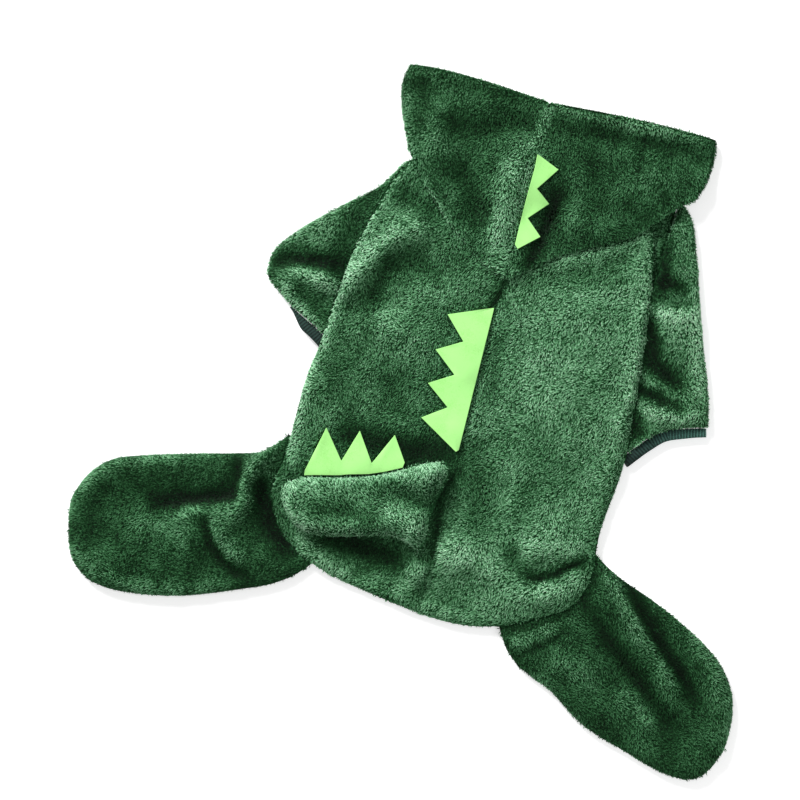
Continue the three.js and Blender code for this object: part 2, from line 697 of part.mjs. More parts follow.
// The sections of a tube laid flat: its upper layer, then its lower one, with a rim between them.
function tubeSections({ patch, rows, columns, underColumns, rimA, rimB, radius, top }) {
  const pairAt = (u, v, layer) => {
    const point = patch(u, v);
    const high = top(point.x, point.y);
    const side = u < 0.5 ? rimA : rimB;
    const rim = { near: (x, y) => ({ ...side.near(x, y), level: high / 2 }) };
    return layer === 'upper' ? upperPair(point, rim, radius, high) : lowerPair(point, rim, radius, 0);
  };
  return Array.from({ length: rows + 1 }, (_, i) => {
    const v = i / rows;
    const [a, b] = [patch(0, v), patch(1, v)];
    const length = Math.hypot(b.x - a.x, b.y - a.y);
    const sharesFor = (count) => sharesAcross(length, radius, true, true, count);
    const over = sharesFor(columns).map((u) => pairAt(u, v, 'upper'));
    const under = sharesFor(underColumns).map((u) => pairAt(u, v, 'lower'));
    return [...over, ...under.reverse().slice(1, -1)];
  });
}

function levelRim(line, inwardSide) {
  const points = sampled(line, RIM_STEPS);
  return new Rim(points, points.map(() => 0), inwardSide);
}

function sleeveGeometry(sleeve, folds, sign) {
  const outer = lineThrough(sleeve.outer);
  const inner = lineThrough(sleeve.inner);
  const patch = patchBetween({
    sideA: outer, sideB: inner, start: lineThrough(sleeve.armhole), end: lineThrough(sleeve.hem),
  });
  return clothGeometry(tubeSections({
    patch, ...GRIDS.sleeve, radius: FOLD_RADIUS, top: sleeveTop(sleeve, folds),
    rimA: levelRim(outer, -sign), rimB: levelRim(inner, sign),
  }), true);
}

// A cuff is a ribbed tube that starts at the sleeve's hem. Its ribs are raised on the outside only.
function cuffGeometry(sleeve, sign) {
  const hem = partOf(lineThrough(sleeve.hem), sleeve.cuffFrom, 1);
  const outwards = (share) => {
    const [a, b] = [hem(share - TANGENT_STEP), hem(share + TANGENT_STEP)];
    const length = Math.hypot(b.x - a.x, b.y - a.y);
    return { x: (sign * (a.y - b.y)) / length, y: (sign * (b.x - a.x)) / length };
  };
  const width = Math.hypot(hem(1).x - hem(0).x, hem(1).y - hem(0).y);
  const steps = 2 * Math.round(width / RIB_PITCH);
  const half = CUFF_HEIGHT / 2;
  const pairAt = (share, layer, isRib, v) => {
    const edge = hem(share);
    const out = outwards(share);
    const depth = mix(sleeve.cuffDepthAtEnd, CUFF_DEPTH, smoothStep(share / CUFF_OPENS_OVER));
    const reach = mix(CUFF_START, depth, v);
    const fromFold = Math.min(1, (Math.min(share, 1 - share) * width) / half);
    const round = Math.sqrt(1 - (1 - fromFold) ** 2);
    const rib = isRib ? RIB_RISE * mix(RIB_AT_FOLD, 1, round) : 0;
    const inset = (CUFF_WALL * (1 - round)) / width;
    const innerEdge = hem(share < 0.5 ? share + inset : share - inset);
    const place = (at, high) => [at.x + out.x * reach, at.y + out.y * reach, high];
    return {
      outer: place(edge, CUFF_LIFT + half + layer * (half * round + rib - RIB_RISE)),
      inner: place(innerEdge, CUFF_LIFT + half + layer * (half - CUFF_WALL) * round),
    };
  };
  const sections = [0, 1].map((v) => [1, -1].flatMap((layer) => (
    Array.from({ length: steps }, (_, k) => {
      const share = layer > 0 ? k / steps : 1 - k / steps;
      return pairAt(share, layer, k % 2 === 1, v);
    })
  )));
  return clothGeometry(sections, true);
}

// A leg is two panels sewn together round the edge: the upper one domed, the lower one flat.
function legUpper(leg, folds, sign) {
  const [upper, lower, root] = [leg.upper, leg.lower, leg.root].map(lineThrough);
  const around = [...sampled(upper, RIM_STEPS), ...sampled(lower, RIM_STEPS).reverse()];
  const rim = new Rim(around, around.map(() => LAYER), sign < 0 ? 1 : -1);
  const patch = patchBetween({
    sideA: upper, sideB: lower, start: root, end: straight(upper(1), lower(1)),
  });
  return clothGeometry(upperSheet({
    patch, ...GRIDS.legUpper, rolledA: true, rolledB: true, rim, radius: RIM_RADIUS,
    top: (x, y) => limbTop(folds, x, y),
  }), false);
}

function slabGeometry(points) {
  const shape = new THREE.Shape(points.map(({ x, y }) => new THREE.Vector2(x, y)));
  const geometry = new THREE.ExtrudeGeometry(shape, {
    depth: WALL - 2 * BEVEL, bevelThickness: BEVEL, bevelSize: BEVEL, bevelOffset: -BEVEL,
    bevelSegments: 1, steps: 1,
  });
  geometry.translate(0, 0, BEVEL);
  return geometry;
}

const ROOT_STEPS = 8;
const EDGE_STEPS = 16;
function legLower(leg) {
  const [upper, lower, root] = [leg.upper, leg.lower, leg.root].map(lineThrough);
  return slabGeometry([
    ...sampled(upper, EDGE_STEPS), ...sampled(lower, EDGE_STEPS).reverse(),
    ...sampled(root, ROOT_STEPS).reverse().slice(1, -1),
  ]);
}

// A line's points, moved sideways: to its left where the distance is above 0.
function besideLine(line, steps, distance) {
  const points = sampled(line, steps);
  const { normals } = new Rim(points, points.map(() => 0), 1);
  return points.map(({ x, y }, i) => ({
    x: x + normals[i].x * distance,
    y: y + normals[i].y * distance,
  }));
}

// The belly is one flat panel. It keeps a seam gap to the roots of the sleeves and legs.
function bellyGeometry() {
  const gap = 2 * SEAM_GAP;
  const beside = (points, side) => besideLine(lineThrough(points), ROOT_STEPS, side * gap);
  const listed = (points) => points.map(([x, y]) => ({ x, y }));
  return slabGeometry([
    ...listed(BELLY_NECK), ...beside(SLEEVES.right.armhole, -1), ...listed(BELLY_RIGHT_FLANK),
    ...beside(LEGS.right.root, -1), ...listed(BELLY_RUMP), ...beside(LEGS.left.root, 1).reverse(),
    ...listed(BELLY_LEFT_FLANK), ...beside(SLEEVES.left.armhole, 1).reverse(),
  ]);
}

// The tail lies on the left back panel: a flat panel under it and a domed one on top.
function tailParts() {
  const [upper, lower, tip, root] = [TAIL.upper, TAIL.lower, TAIL.tip, TAIL.root].map(lineThrough);
  const around = [
    ...sampled(upper, RIM_STEPS), ...sampled(root, RIM_STEPS).slice(1),
    ...sampled(lower, RIM_STEPS).reverse().slice(1), ...sampled(tip, ROOT_STEPS).reverse().slice(1),
  ];
  const levels = around.map(({ x, y }) => bodySurface(x, y) + REST_GAP + LAYER);
  const rim = new Rim(around, levels, -1);
  const patch = patchBetween({ sideA: upper, sideB: lower, start: tip, end: root });
  const top = (x, y) => bodySurface(x, y) + REST_GAP + TAIL_HEIGHT + foldHeight(TAIL_FOLDS, x, y);
  const dome = upperSheet({
    patch, ...GRIDS.tailUpper, rolledA: true, rolledB: true, rim, radius: TAIL_RADIUS, top,
  });
  const within = (margin, share) => mix(margin, 1 - margin, share);
  const { rows, columns } = GRIDS.tailLower;
  const flat = Array.from({ length: rows + 1 }, (_, i) => (
    Array.from({ length: columns + 1 }, (_, j) => {
      const across = within(TAIL_MARGIN.across, j / columns);
      const { x, y } = patch(across, within(TAIL_MARGIN.along, i / rows));
      const under = bodySurface(x, y) + REST_GAP;
      return { outer: [x, y, under], inner: [x, y, under + WALL] };
    })
  ));
  return { upper: clothGeometry(dome, false), lower: clothGeometry(flat, false) };
}

// A comb of felt spikes lies on the cloth beside the seam that holds it.
const COMB_STEPS = 2;
const COMB_COLUMNS = 3;
function combGeometry(rows, surface) {
  const base = rows.map(({ baseX, baseY }) => ({ x: baseX, y: baseY }));
  const edge = rows.map(({ edgeX, edgeY }) => ({ x: edgeX, y: edgeY }));
  const stops = Array.from({ length: (rows.length - 1) * COMB_STEPS + 1 }, (_, k) => k / COMB_STEPS);
  const pointOn = (line, stop) => {
    const i = Math.min(Math.floor(stop), line.length - 2);
    return straight(line[i], line[i + 1])(stop - i);
  };
  return clothGeometry(stops.map((stop) => {
    const across = straight(pointOn(base, stop), pointOn(edge, stop));
    return Array.from({ length: COMB_COLUMNS + 1 }, (_, j) => {
      const { x, y } = across(j / COMB_COLUMNS);
      const under = surface(x, y) + REST_GAP + FELT_LIFT;
      return { outer: [x, y, under + FELT], inner: [x, y, under] };
    });
  }), false);
}

const fleece = new THREE.MeshStandardMaterial({ color: COLOURS.fleece, roughness: 0.95, metalness: 0 });
const felt = new THREE.MeshStandardMaterial({ color: COLOURS.felt, roughness: 0.9, metalness: 0 });
const rib = new THREE.MeshStandardMaterial({ color: COLOURS.rib, roughness: 0.9, metalness: 0 });

const onesie = new THREE.Group();
onesie.position.set(NECK.x, NECK.y, 0);

function add(name, geometry, material) {
  const mesh = new THREE.Mesh(geometry, material);
  mesh.name = name;
  onesie.add(mesh);
}

const tail = tailParts();
add('belly', bellyGeometry(), fleece);
for (const [side, sign] of [['left', -1], ['right', 1]]) {
  add(`back_${side}`, backPanel(sign), fleece);
  add(`hood_${side}`, hoodHalf(sign), fleece);
  add(`sleeve_${side}`, sleeveGeometry(SLEEVES[side], SLEEVE_FOLDS[side], sign), fleece);
  add(`cuff_${side}`, cuffGeometry(SLEEVES[side], sign), rib);
  add(`leg_${side}_upper`, legUpper(LEGS[side], LEG_FOLDS[side], sign), fleece);
  add(`leg_${side}_lower`, legLower(LEGS[side]), fleece);
}
add('tail_upper', tail.upper, fleece);
add('tail_lower', tail.lower, fleece);
add('comb_hood', combGeometry(COMBS.comb_hood, hoodTop), felt);
add('comb_back', combGeometry(COMBS.comb_back, bodySurface), felt);
add('comb_tail', combGeometry(COMBS.comb_tail, bodySurface), felt);

export default onesie;
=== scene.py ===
"""A dog's hooded plush onesie, laid out flat and seen from straight above.

Lengths in the tables are millimetres of the garment, measured from its neck point: x to its right,
y along the centre-back seam towards the hood. Everything in Blender is in metres.
"""

import math

import bmesh
import bpy
import numpy as np
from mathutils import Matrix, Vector
from mathutils.bvhtree import BVHTree


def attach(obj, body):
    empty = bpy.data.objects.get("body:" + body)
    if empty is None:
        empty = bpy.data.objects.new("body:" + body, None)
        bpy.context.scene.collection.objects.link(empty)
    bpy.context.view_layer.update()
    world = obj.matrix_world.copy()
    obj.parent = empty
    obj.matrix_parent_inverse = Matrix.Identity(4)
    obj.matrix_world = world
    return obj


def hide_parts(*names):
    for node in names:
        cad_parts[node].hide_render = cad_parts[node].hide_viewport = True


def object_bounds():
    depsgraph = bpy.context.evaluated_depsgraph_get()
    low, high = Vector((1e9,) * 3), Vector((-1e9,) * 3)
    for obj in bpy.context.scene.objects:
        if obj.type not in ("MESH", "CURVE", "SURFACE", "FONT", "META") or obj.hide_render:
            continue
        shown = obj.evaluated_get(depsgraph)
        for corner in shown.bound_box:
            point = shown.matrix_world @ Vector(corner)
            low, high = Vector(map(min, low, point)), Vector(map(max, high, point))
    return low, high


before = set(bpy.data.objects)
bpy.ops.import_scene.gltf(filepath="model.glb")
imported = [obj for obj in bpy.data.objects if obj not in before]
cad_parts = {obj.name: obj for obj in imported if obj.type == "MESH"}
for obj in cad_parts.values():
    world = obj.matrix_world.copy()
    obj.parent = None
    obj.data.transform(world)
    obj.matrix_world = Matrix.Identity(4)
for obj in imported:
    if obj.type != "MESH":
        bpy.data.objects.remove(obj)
cad_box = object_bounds()

MM = 0.001
NECK = np.array([16.0, 101.3])

# The view: straight down, as wide as the photo, which is turned against the garment.
VIEW_WIDTH = 640 * MM
VIEW_TURN = math.radians(14)
VIEW_CENTRE = (-42.3 * MM, -12.2 * MM)
VIEW_LEVEL = 8 * MM
LENS = 120.0
SENSOR = 36.0


def make_camera():
    data = bpy.data.cameras.new("view")
    data.lens = LENS
    data.sensor_width = SENSOR
    camera = bpy.data.objects.new("view", data)
    height = VIEW_WIDTH * LENS / SENSOR + VIEW_LEVEL
    camera.location = (*VIEW_CENTRE, height)
    camera.rotation_euler = (0, 0, VIEW_TURN)
    bpy.context.scene.collection.objects.link(camera)
    bpy.context.scene.camera = camera


make_camera()

# The nap: the ground cloth lies this far inside the solid, whose surface the tufts reach.
NAP_INSET = 0.9 * MM
TUFT_LENGTH = 3.3 * MM
TUFT_WIDTH = 0.42 * MM
TUFTS_PER_MM2 = 1.1
MOST_TUFTS = 49000
TUFT_ROOT = 0.3 * MM
LOWEST_TUFT = 0.2 * MM
# How much the tufts of a piece differ in length and width.
LENGTH_RANGE = (0.7, 1.25)
WIDTH_RANGE = (0.75, 1.3)
# How the nap swirls, in radians, and how its lean varies, in degrees.
SWIRLS = [{"high": 0.6, "size": 26, "seed": 40}, {"high": 0.35, "size": 9, "seed": 41}]
TURN_SPREAD = 0.22
LEAN_WAVES = [{"high": 7, "size": 14, "seed": 42}]
LEAN_SPREAD = 6
# How many degrees a tuft bends over, and at what share of its length.
BEND_RANGE = (8, 24)
BEND_AT = 0.45
# On a steep side the tufts are shorter and stand out more, by these factors.
STEEP_LENGTH = 0.45
STEEP_LEAN = 0.8
# The share of the tufts that stand up more and point anywhere, and how far they still lean.
STRAY_SHARE = 0.22
STRAY_LEAN = 0.6
# The corners of a tuft are its root, its two widest corners and its tip: the faces between them,
# and how far along the tuft each counts for its colour.
TUFT_FACES = np.array([[0, 2, 1], [1, 2, 3], [0, 1, 3], [0, 3, 2]])
ALONG = [0.0, 0.6, 0.6, 1.0]
# How far a tuft is shaded by its own form, against the cloth's form under it.
OWN_SHADING = 0.55
# How far the steep sides are lit like the top, since light goes through the nap.
SOFT_SIDE = 0.7
# The nap is painted darker in a hollow and lighter on a ridge, as painted shade and highlight: the
# change for each millimetre.
RELIEF_SHADE_AND_HIGHLIGHT = 0.1
# Slopes that face this way, towards the key light, are painted lighter and the others darker, as
# painted light and shade.
LIT_SIDE = np.array([-0.72, 0.69])
SLOPE_PAINTED_LIGHT = 0.6
# Steep sides are painted lighter, as a painted sheen along the rims.
RIM_PAINTED_SHEEN = 1.7
RIM_POWER = 1.5
# Painted highlights fade out towards this.
MOST_PAINTED_HIGHLIGHT = 1.15
# How much single tufts differ in tone.
TONE_SPREAD = 0.46
TONE_RANGE = (0.2, 3)
# The nap of the darker pieces is more mottled, by this much for each part that they are darker.
MOTTLE = 0.24
UNMOTTLED_TONE = 1.3
MOTTLES = [{"high": 1, "size": 16, "seed": 43}, {"high": 0.6, "size": 7, "seed": 44}]

# Soft creases: how wide, how high (a trough is below 0), how much lighter or darker the nap is painted
# along it, as painted shade in hollows and under edges and painted highlight on ridges and rims, and
# its path.
BACK_CREASES = [
    (5, 0.6, 1.1, [(-100, 76), (-105, 62), (-114, 36), (-121, 5), (-123, -31)]),
    (6, 0.6, 1.3, [(-122, -28), (-131, -73), (-136, -126), (-135, -160), (-128, -186)]),
    (6, 1.6, 0.5, [(-126, -50), (-117, -28), (-109, -10), (-99, 6), (-87, 19), (-64, 26), (-52, 24)]),
    (9, -2.0, -0.65, [(-48, -6), (-64, -5), (-80, -1), (-93, -14), (-99, -32), (-100, -60)]),
    (9, -1.6, -0.6, [(-106, 56), (-94, 48), (-82, 42), (-66, 36), (-56, 30)]),
    (12, 1.0, 0.15, [(-70, -26), (-56, -30), (-40, -24), (-24, -16)]),
    (12, 1.2, 0.3, [(-88, -44), (-78, -62), (-60, -66), (-44, -60)]),
    (12, -1.0, -0.35, [(-112, -78), (-110, -104), (-104, -132)]),
    (11, -1.2, -0.5, [(-70, -92), (-62, -112), (-56, -132)]),
    (12, -2.4, -2.3, [(-104, -146), (-80, -150), (-58, -150), (-36, -149), (-16, -146), (2, -136)]),
    (8, -1.4, -0.5, [(-34, -112), (-22, -130), (-12, -146)]),
    (2.5, -1.0, -1.9, [(2, 8), (0, -6), (-5, -26), (-6, -34)]),
    (8, -1.4, -0.35, [(8, -4), (28, 6), (52, 14), (84, 32), (104, 50)]),
    (4, -1.0, -0.25, [(54, 6), (72, 13), (88, 20), (106, 28)]),
    (4, 0.6, 0.3, [(106, 66), (110, 40), (115, 10), (119, -38), (119, -84), (116, -124)]),
    (7, -1.0, -0.4, [(10, -14), (9, -40), (11, -70), (15, -104)]),
    (16, 1.2, 0.2, [(44, -40), (50, -76), (56, -108)]),
    (14, -2.0, -0.75, [(4, -126), (12, -146), (20, -168), (28, -190), (34, -208)]),
    (8, -1.4, -0.2, [(2, -158), (3, -186), (0, -214)]),
    (
        3.5, -1.0, -1.3,
        [(8, -146), (0, -158), (-7, -170), (-8, -184), (-4, -204), (-2, -226), (-6, -240)],
    ),
    (12, -1.0, -0.3, [(56, -150), (64, -174), (60, -196)]),
    (22, -0.8, -0.35, [(36, -100), (60, -128), (88, -156)]),
    (12, 1.6, 0.15, [(-12, -226), (6, -227), (24, -227), (42, -231), (64, -240)]),
    (7, -2.0, -0.7, [(54, -196), (59, -210), (68, -221), (82, -227), (90, -225)]),
    (4, -2.4, -2.5, [(72, -229), (84, -225), (96, -218), (108, -208), (122, -198)]),
    (8, 1.2, 0.15, [(70, -212), (80, -202), (94, -198), (114, -192)]),
    (7, 1.2, 0.15, [(52, -252), (66, -247), (84, -239), (104, -230), (124, -212)]),
    (4, -1.0, -0.35, [(-8, -259), (8, -262), (28, -262), (50, -266)]),
    (7, 1.2, 0.4, [(-2, -232), (-9, -246), (-16, -258), (-28, -266)]),
    (9, -2.4, -2.0, [(-100, -226), (-84, -231), (-62, -234), (-42, -237), (-18, -240)]),
    (6, 1.2, 0.8, [(-122, -222), (-112, -236), (-98, -247), (-76, -258), (-50, -268)]),
    (5, -1.2, -0.5, [(-64, -268), (-56, -256), (-46, -248), (-38, -242)]),
    (3, -1.0, -0.8, [(-142, -158), (-139, -174), (-134, -196)]),
]
HOOD_CREASES = [
    (4, 0.6, 1.4, [(-12, 10), (-5, 2), (2, -1), (7, 4), (11, 11)]),
    (8, -1.2, -0.5, [(-106, 142), (-102, 130), (-98, 118), (-96, 108)]),
    (9, -2.2, -0.75, [(-80, 122), (-66, 113), (-52, 111), (-38, 116), (-24, 127), (-6, 130)]),
    (4, -0.8, -0.5, [(-76, 146), (-60, 144), (-40, 143), (-20, 146), (-8, 148)]),
    (11, 1.8, 2.4, [(-1, 120), (-5, 108), (-9, 90), (-11, 70), (-10, 46), (-7, 24), (-1, 4)]),
    (3.5, 0.8, 1.7, [(-3, 106), (-1, 118), (1, 132), (3, 152)]),
    (6, 0.6, 0.8, [(-117, 134), (-111, 112), (-100, 86), (-88, 68)]),
    (11, -1.6, -0.55, [(-62, 90), (-54, 76), (-44, 62), (-35, 46), (-28, 30)]),
    (2.5, 0.6, 1.6, [(-86, 66), (-72, 50), (-56, 34), (-40, 20), (-24, 10), (-8, 2)]),
    (10, 0.8, 0.25, [(-84, 112), (-78, 96), (-70, 80)]),
    (6, 1.2, 1.3, [(0, 146), (20, 147), (44, 147), (70, 146), (100, 147), (136, 147)]),
    (6, -1.2, -0.45, [(22, 134), (44, 131), (66, 130), (92, 134), (122, 137)]),
    (6, -2.4, -2.3, [(25, 88), (24, 74), (23, 58), (21, 40), (17, 25), (10, 10)]),
    (7, 1.6, 0.4, [(32, 102), (37, 90), (41, 76), (43, 60), (40, 46)]),
    (9, -1.2, -0.35, [(42, 126), (46, 112), (50, 98), (56, 84)]),
    (8, -1.4, -0.4, [(28, 32), (46, 38), (66, 46), (86, 59), (108, 78)]),
    (4, 0.8, 0.9, [(20, 16), (38, 24), (58, 33), (82, 46), (104, 62)]),
    (9, 0.8, 0.25, [(70, 98), (88, 102), (106, 112)]),
]
LEG_CREASES = [
    (8, -2.4, -2.7, [(-236, -240), (-222, -237), (-204, -232), (-184, -226), (-164, -218)]),
    (5, -2.0, -1.9, [(-172, -184), (-169, -198), (-167, -212), (-166, -226)]),
    (5, 3.4, 1.9, [(-153, -176), (-157, -190), (-160, -206), (-159, -222), (-163, -236), (-170, -244)]),
    (5, 2.4, 1.3, [(-210, -250), (-202, -243), (-190, -237), (-178, -233), (-162, -228)]),
    (6, 2.8, 1.5, [(-180, -234), (-176, -246), (-169, -256), (-158, -264), (-144, -272)]),
    (
        5, -2.4, -1.9,
        [(-186, -238), (-183, -248), (-176, -261), (-164, -272), (-148, -281), (-134, -284)],
    ),
    (
        8, -2.4, -2.7,
        [(-156, -200), (-149, -210), (-140, -224), (-131, -238), (-118, -250), (-106, -256)],
    ),
    (8, 1.6, 1.2, [(-146, -164), (-147, -180), (-143, -196), (-136, -212)]),
    (12, -1.0, -0.5, [(-288, -242), (-279, -258), (-274, -276), (-268, -290)]),
    (9, -0.8, -0.4, [(-272, -224), (-254, -227), (-236, -230), (-220, -230)]),
    (12, 1.4, 0.7, [(-248, -266), (-230, -260), (-212, -255), (-196, -264), (-188, -276)]),
    (7, 0.6, 1.1, [(-290, -272), (-290, -258), (-282, -234), (-259, -214), (-230, -203), (-190, -192)]),
    (7, 0.6, 1.2, [(-288, -280), (-281, -293), (-266, -304), (-238, -310), (-208, -308), (-140, -288)]),
    (
        4.5, 3.0, 1.3,
        [(130, -200), (140, -211), (152, -226), (166, -241), (182, -256), (199, -271), (218, -290)],
    ),
    (
        7, -2.4, -2.3,
        [(146, -208), (156, -217), (168, -230), (183, -246), (199, -261), (215, -275), (234, -296)],
    ),
    (
        7.5, -2.4, -1.5,
        [(120, -226), (130, -239), (142, -253), (157, -265), (173, -277), (190, -292), (216, -316)],
    ),
    (5, -1.4, -0.7, [(124, -200), (125, -212), (123, -226), (117, -240)]),
    (4, -1.4, -0.7, [(56, -278), (70, -271), (88, -264), (104, -254), (120, -240)]),
    (5, 1.4, 1.0, [(72, -282), (82, -276), (94, -269), (108, -258)]),
    (3.5, -1.6, -0.7, [(78, -294), (86, -286), (96, -277), (107, -267), (120, -254)]),
    (6, -1.4, -0.45, [(116, -298), (128, -309), (144, -319), (162, -329), (184, -339)]),
    (6, 0.6, 1.4, [(92, -294), (110, -309), (130, -326), (152, -341), (180, -353), (212, -362)]),
    (9, 1.4, 0.9, [(164, -292), (178, -302), (192, -313), (206, -320)]),
    (12, 1.0, 0.7, [(104, -292), (120, -288), (136, -292), (150, -304)]),
    (11, -1.2, -0.5, [(206, -304), (213, -316), (218, -330), (226, -346)]),
    (7, 0.6, 0.9, [(190, -218), (214, -238), (240, -264), (257, -292), (262, -320), (252, -346)]),
]
SLEEVE_CREASES = [
    (8, -2.4, -2.9, [(-186, -30), (-172, -27), (-154, -23), (-136, -21), (-112, -20)]),
    (6, 3.4, 1.0, [(-176, -30), (-164, -33), (-148, -35), (-132, -39), (-112, -44)]),
    (9, -1.8, -0.55, [(-162, -42), (-150, -48), (-141, -57), (-128, -64), (-112, -70)]),
    (4, 1.0, 0.9, [(-174, -42), (-163, -53), (-149, -63), (-135, -72), (-120, -80)]),
    (9, -1.8, -0.8, [(-112, 56), (-118, 38), (-125, 20), (-131, 2), (-135, -14)]),
    (8, 1.4, 0.25, [(-150, 20), (-160, 6), (-172, -8)]),
    (7, -0.6, -2.5, [(110, 78), (114, 64), (119, 48), (123, 33), (127, 14)]),
    (5, -1.8, -1.9, [(110, 29), (124, 30), (136, 30), (146, 25)]),
    (4, -2.0, -0.8, [(108, 12), (122, 13), (138, 14), (158, 20)]),
    (7, 3.4, 0.9, [(106, 2), (122, 4), (138, 6), (154, 10), (168, 12)]),
    (10, 1.6, 0.45, [(128, -4), (144, -7), (156, -11), (170, -20)]),
    (8, -2.4, -3.1, [(116, 4), (123, -9), (126, -22), (131, -35), (143, -42), (162, -50)]),
    (4, 2.2, 0.5, [(112, -46), (128, -50), (142, -52), (160, -57)]),
    (5.5, -2.4, -2.5, [(108, -53), (122, -56), (136, -60), (150, -64), (168, -68)]),
    (5, 2.6, 0.7, [(112, -68), (128, -71), (146, -74), (164, -73), (184, -66)]),
    (8, -2.0, -2.3, [(116, -70), (122, -79), (128, -87), (136, -98)]),
    (6, 0.6, 0.8, [(150, 40), (158, 4), (167, -30), (178, -62)]),
]
TAIL_CREASES = [
    (4, 0.6, 0.8, [(-121, -186), (-126, -200), (-123, -218), (-107, -231), (-80, -229), (-54, -224)]),
    (4, 0.6, 1.0, [(-62, -226), (-50, -223), (-36, -222), (-20, -226), (-8, -230)]),
    (7, -1.6, -0.55, [(-116, -212), (-100, -216), (-78, -213), (-56, -212), (-42, -207)]),
    (7, 1.6, 0.35, [(-52, -203), (-40, -204), (-26, -207), (-10, -218)]),
    (5, -1.2, -0.4, [(-30, -196), (-18, -190), (-10, -180)]),
    (6, 1.2, 0.3, [(-44, -184), (-30, -174), (-16, -164), (-4, -158)]),
]
CREASES = BACK_CREASES + HOOD_CREASES + LEG_CREASES + SLEEVE_CREASES + TAIL_CREASES

# Each piece of plush: its creases, the way that its nap lies in degrees from +x and how far it leans,
# how light it is painted, one cloth made lighter or darker piece by piece as painted light and shade,
# how far the cloth is subdivided, its cut in metres and what it lies on.
FLEECE = {
    "belly": {
        "creases": [], "nap": 250, "lean": 55, "tone_and_painted_light": 0.6, "levels": 0,
        "cut": (0.264, 0.380), "area": 0.078, "held": "laid", "rests_on": [],
    },
    "back_left": {
        "creases": BACK_CREASES, "nap": 245, "lean": 62, "tone_and_painted_light": 0.66, "levels": 2,
        "cut": (0.145, 0.352), "area": 0.039, "held": "laid", "rests_on": ["belly"],
    },
    "back_right": {
        "creases": BACK_CREASES, "nap": 235, "lean": 64, "tone_and_painted_light": 0.94, "levels": 2,
        "cut": (0.145, 0.352), "area": 0.039, "held": "laid", "rests_on": ["belly"],
    },
    "hood_left": {
        "creases": HOOD_CREASES, "nap": 262, "lean": 52, "tone_and_painted_light": 0.39, "levels": 2,
        "cut": (0.158, 0.165), "area": 0.0208, "held": "folded",
        "rests_on": ["back_left", "sleeve_left"],
    },
    "hood_right": {
        "creases": HOOD_CREASES, "nap": 282, "lean": 52, "tone_and_painted_light": 0.32, "levels": 2,
        "cut": (0.158, 0.165), "area": 0.0208, "held": "folded",
        "rests_on": ["back_right", "sleeve_right"],
    },
    "sleeve_left": {
        "creases": SLEEVE_CREASES, "nap": 215, "lean": 56, "tone_and_painted_light": 0.66, "levels": 2,
        "cut": (0.170, 0.140), "area": 0.0178, "held": "laid", "rests_on": ["belly"],
    },
    "sleeve_right": {
        "creases": SLEEVE_CREASES, "nap": 290, "lean": 56, "tone_and_painted_light": 0.76, "levels": 2,
        "cut": (0.170, 0.140), "area": 0.0178, "held": "laid", "rests_on": ["belly"],
    },
    "leg_left_upper": {
        "creases": LEG_CREASES, "nap": 200, "lean": 48, "tone_and_painted_light": 0.27, "levels": 2,
        "cut": (0.135, 0.212), "area": 0.0200, "held": "laid", "rests_on": ["leg_left_lower"],
    },
    "leg_left_lower": {
        "creases": [], "nap": 200, "lean": 50, "tone_and_painted_light": 0.27, "levels": 0,
        "cut": (0.132, 0.208), "area": 0.0192, "held": "laid", "rests_on": [],
    },
    "leg_right_upper": {
        "creases": LEG_CREASES, "nap": 320, "lean": 46, "tone_and_painted_light": 0.31, "levels": 2,
        "cut": (0.135, 0.212), "area": 0.0200, "held": "laid", "rests_on": ["leg_right_lower"],
    },
    "leg_right_lower": {
        "creases": [], "nap": 320, "lean": 50, "tone_and_painted_light": 0.31, "levels": 0,
        "cut": (0.132, 0.208), "area": 0.0192, "held": "laid", "rests_on": [],
    },
    "tail_upper": {
        "creases": TAIL_CREASES, "nap": 140, "lean": 58, "tone_and_painted_light": 0.56, "levels": 2,
        "cut": (0.082, 0.126), "area": 0.0066, "held": "laid", "rests_on": ["tail_lower"],
    },
    "tail_lower": {
        "creases": [], "nap": 200, "lean": 55, "tone_and_painted_light": 0.62, "levels": 0,
        "cut": (0.078, 0.124), "area": 0.0057, "held": "laid", "rests_on": ["back_left"],
    },
}


def garment(points):
    """The places of points in metres, as x and y in the garment's millimetres."""
    return points[:, :2] / MM - NECK


def smooth_share(value):
    t = np.clip(value, 0, 1)
    return t * t * (3 - 2 * t)


def along_path(places, path):
    """How far each place is from a path, and how far along the path its nearest point is."""
    path = np.array(path, float)
    steps = path[1:] - path[:-1]
    lengths = np.linalg.norm(steps, axis=1)
    passed = np.concatenate([[0], np.cumsum(lengths)])
    nearest = np.full(len(places), np.inf)
    reached = np.zeros(len(places))
    for start, step, length, before in zip(path, steps, lengths, passed):
        part = np.clip(((places - start) @ step) / length**2, 0, 1)
        away = np.linalg.norm(places - start - part[:, None] * step, axis=1)
        closer = away < nearest
        nearest[closer] = away[closer]
        reached[closer] = before + part[closer] * length
    return nearest, reached, passed[-1]


def crease_sum(places, creases, value):
    """What the creases add at each place: their heights, or their nap column of painted shade and
    painted highlight. A crease fades at both ends.
    """
    total = np.zeros(len(places))
    for width, height, nap, along in creases:
        away, reached, length = along_path(places, along)
        fade = 1 - (2 * reached / length - 1) ** 4
        # The nap column is painted shade where it is below 0 and painted highlight where it is above 0.
        amount = height if value == "height" else nap
        total += amount * fade * np.exp(-((away / width) ** 2))
    return total


# How long the waves of a ripple are, in sizes of its hills.
WAVE_RANGE = (1.3, 3.2)


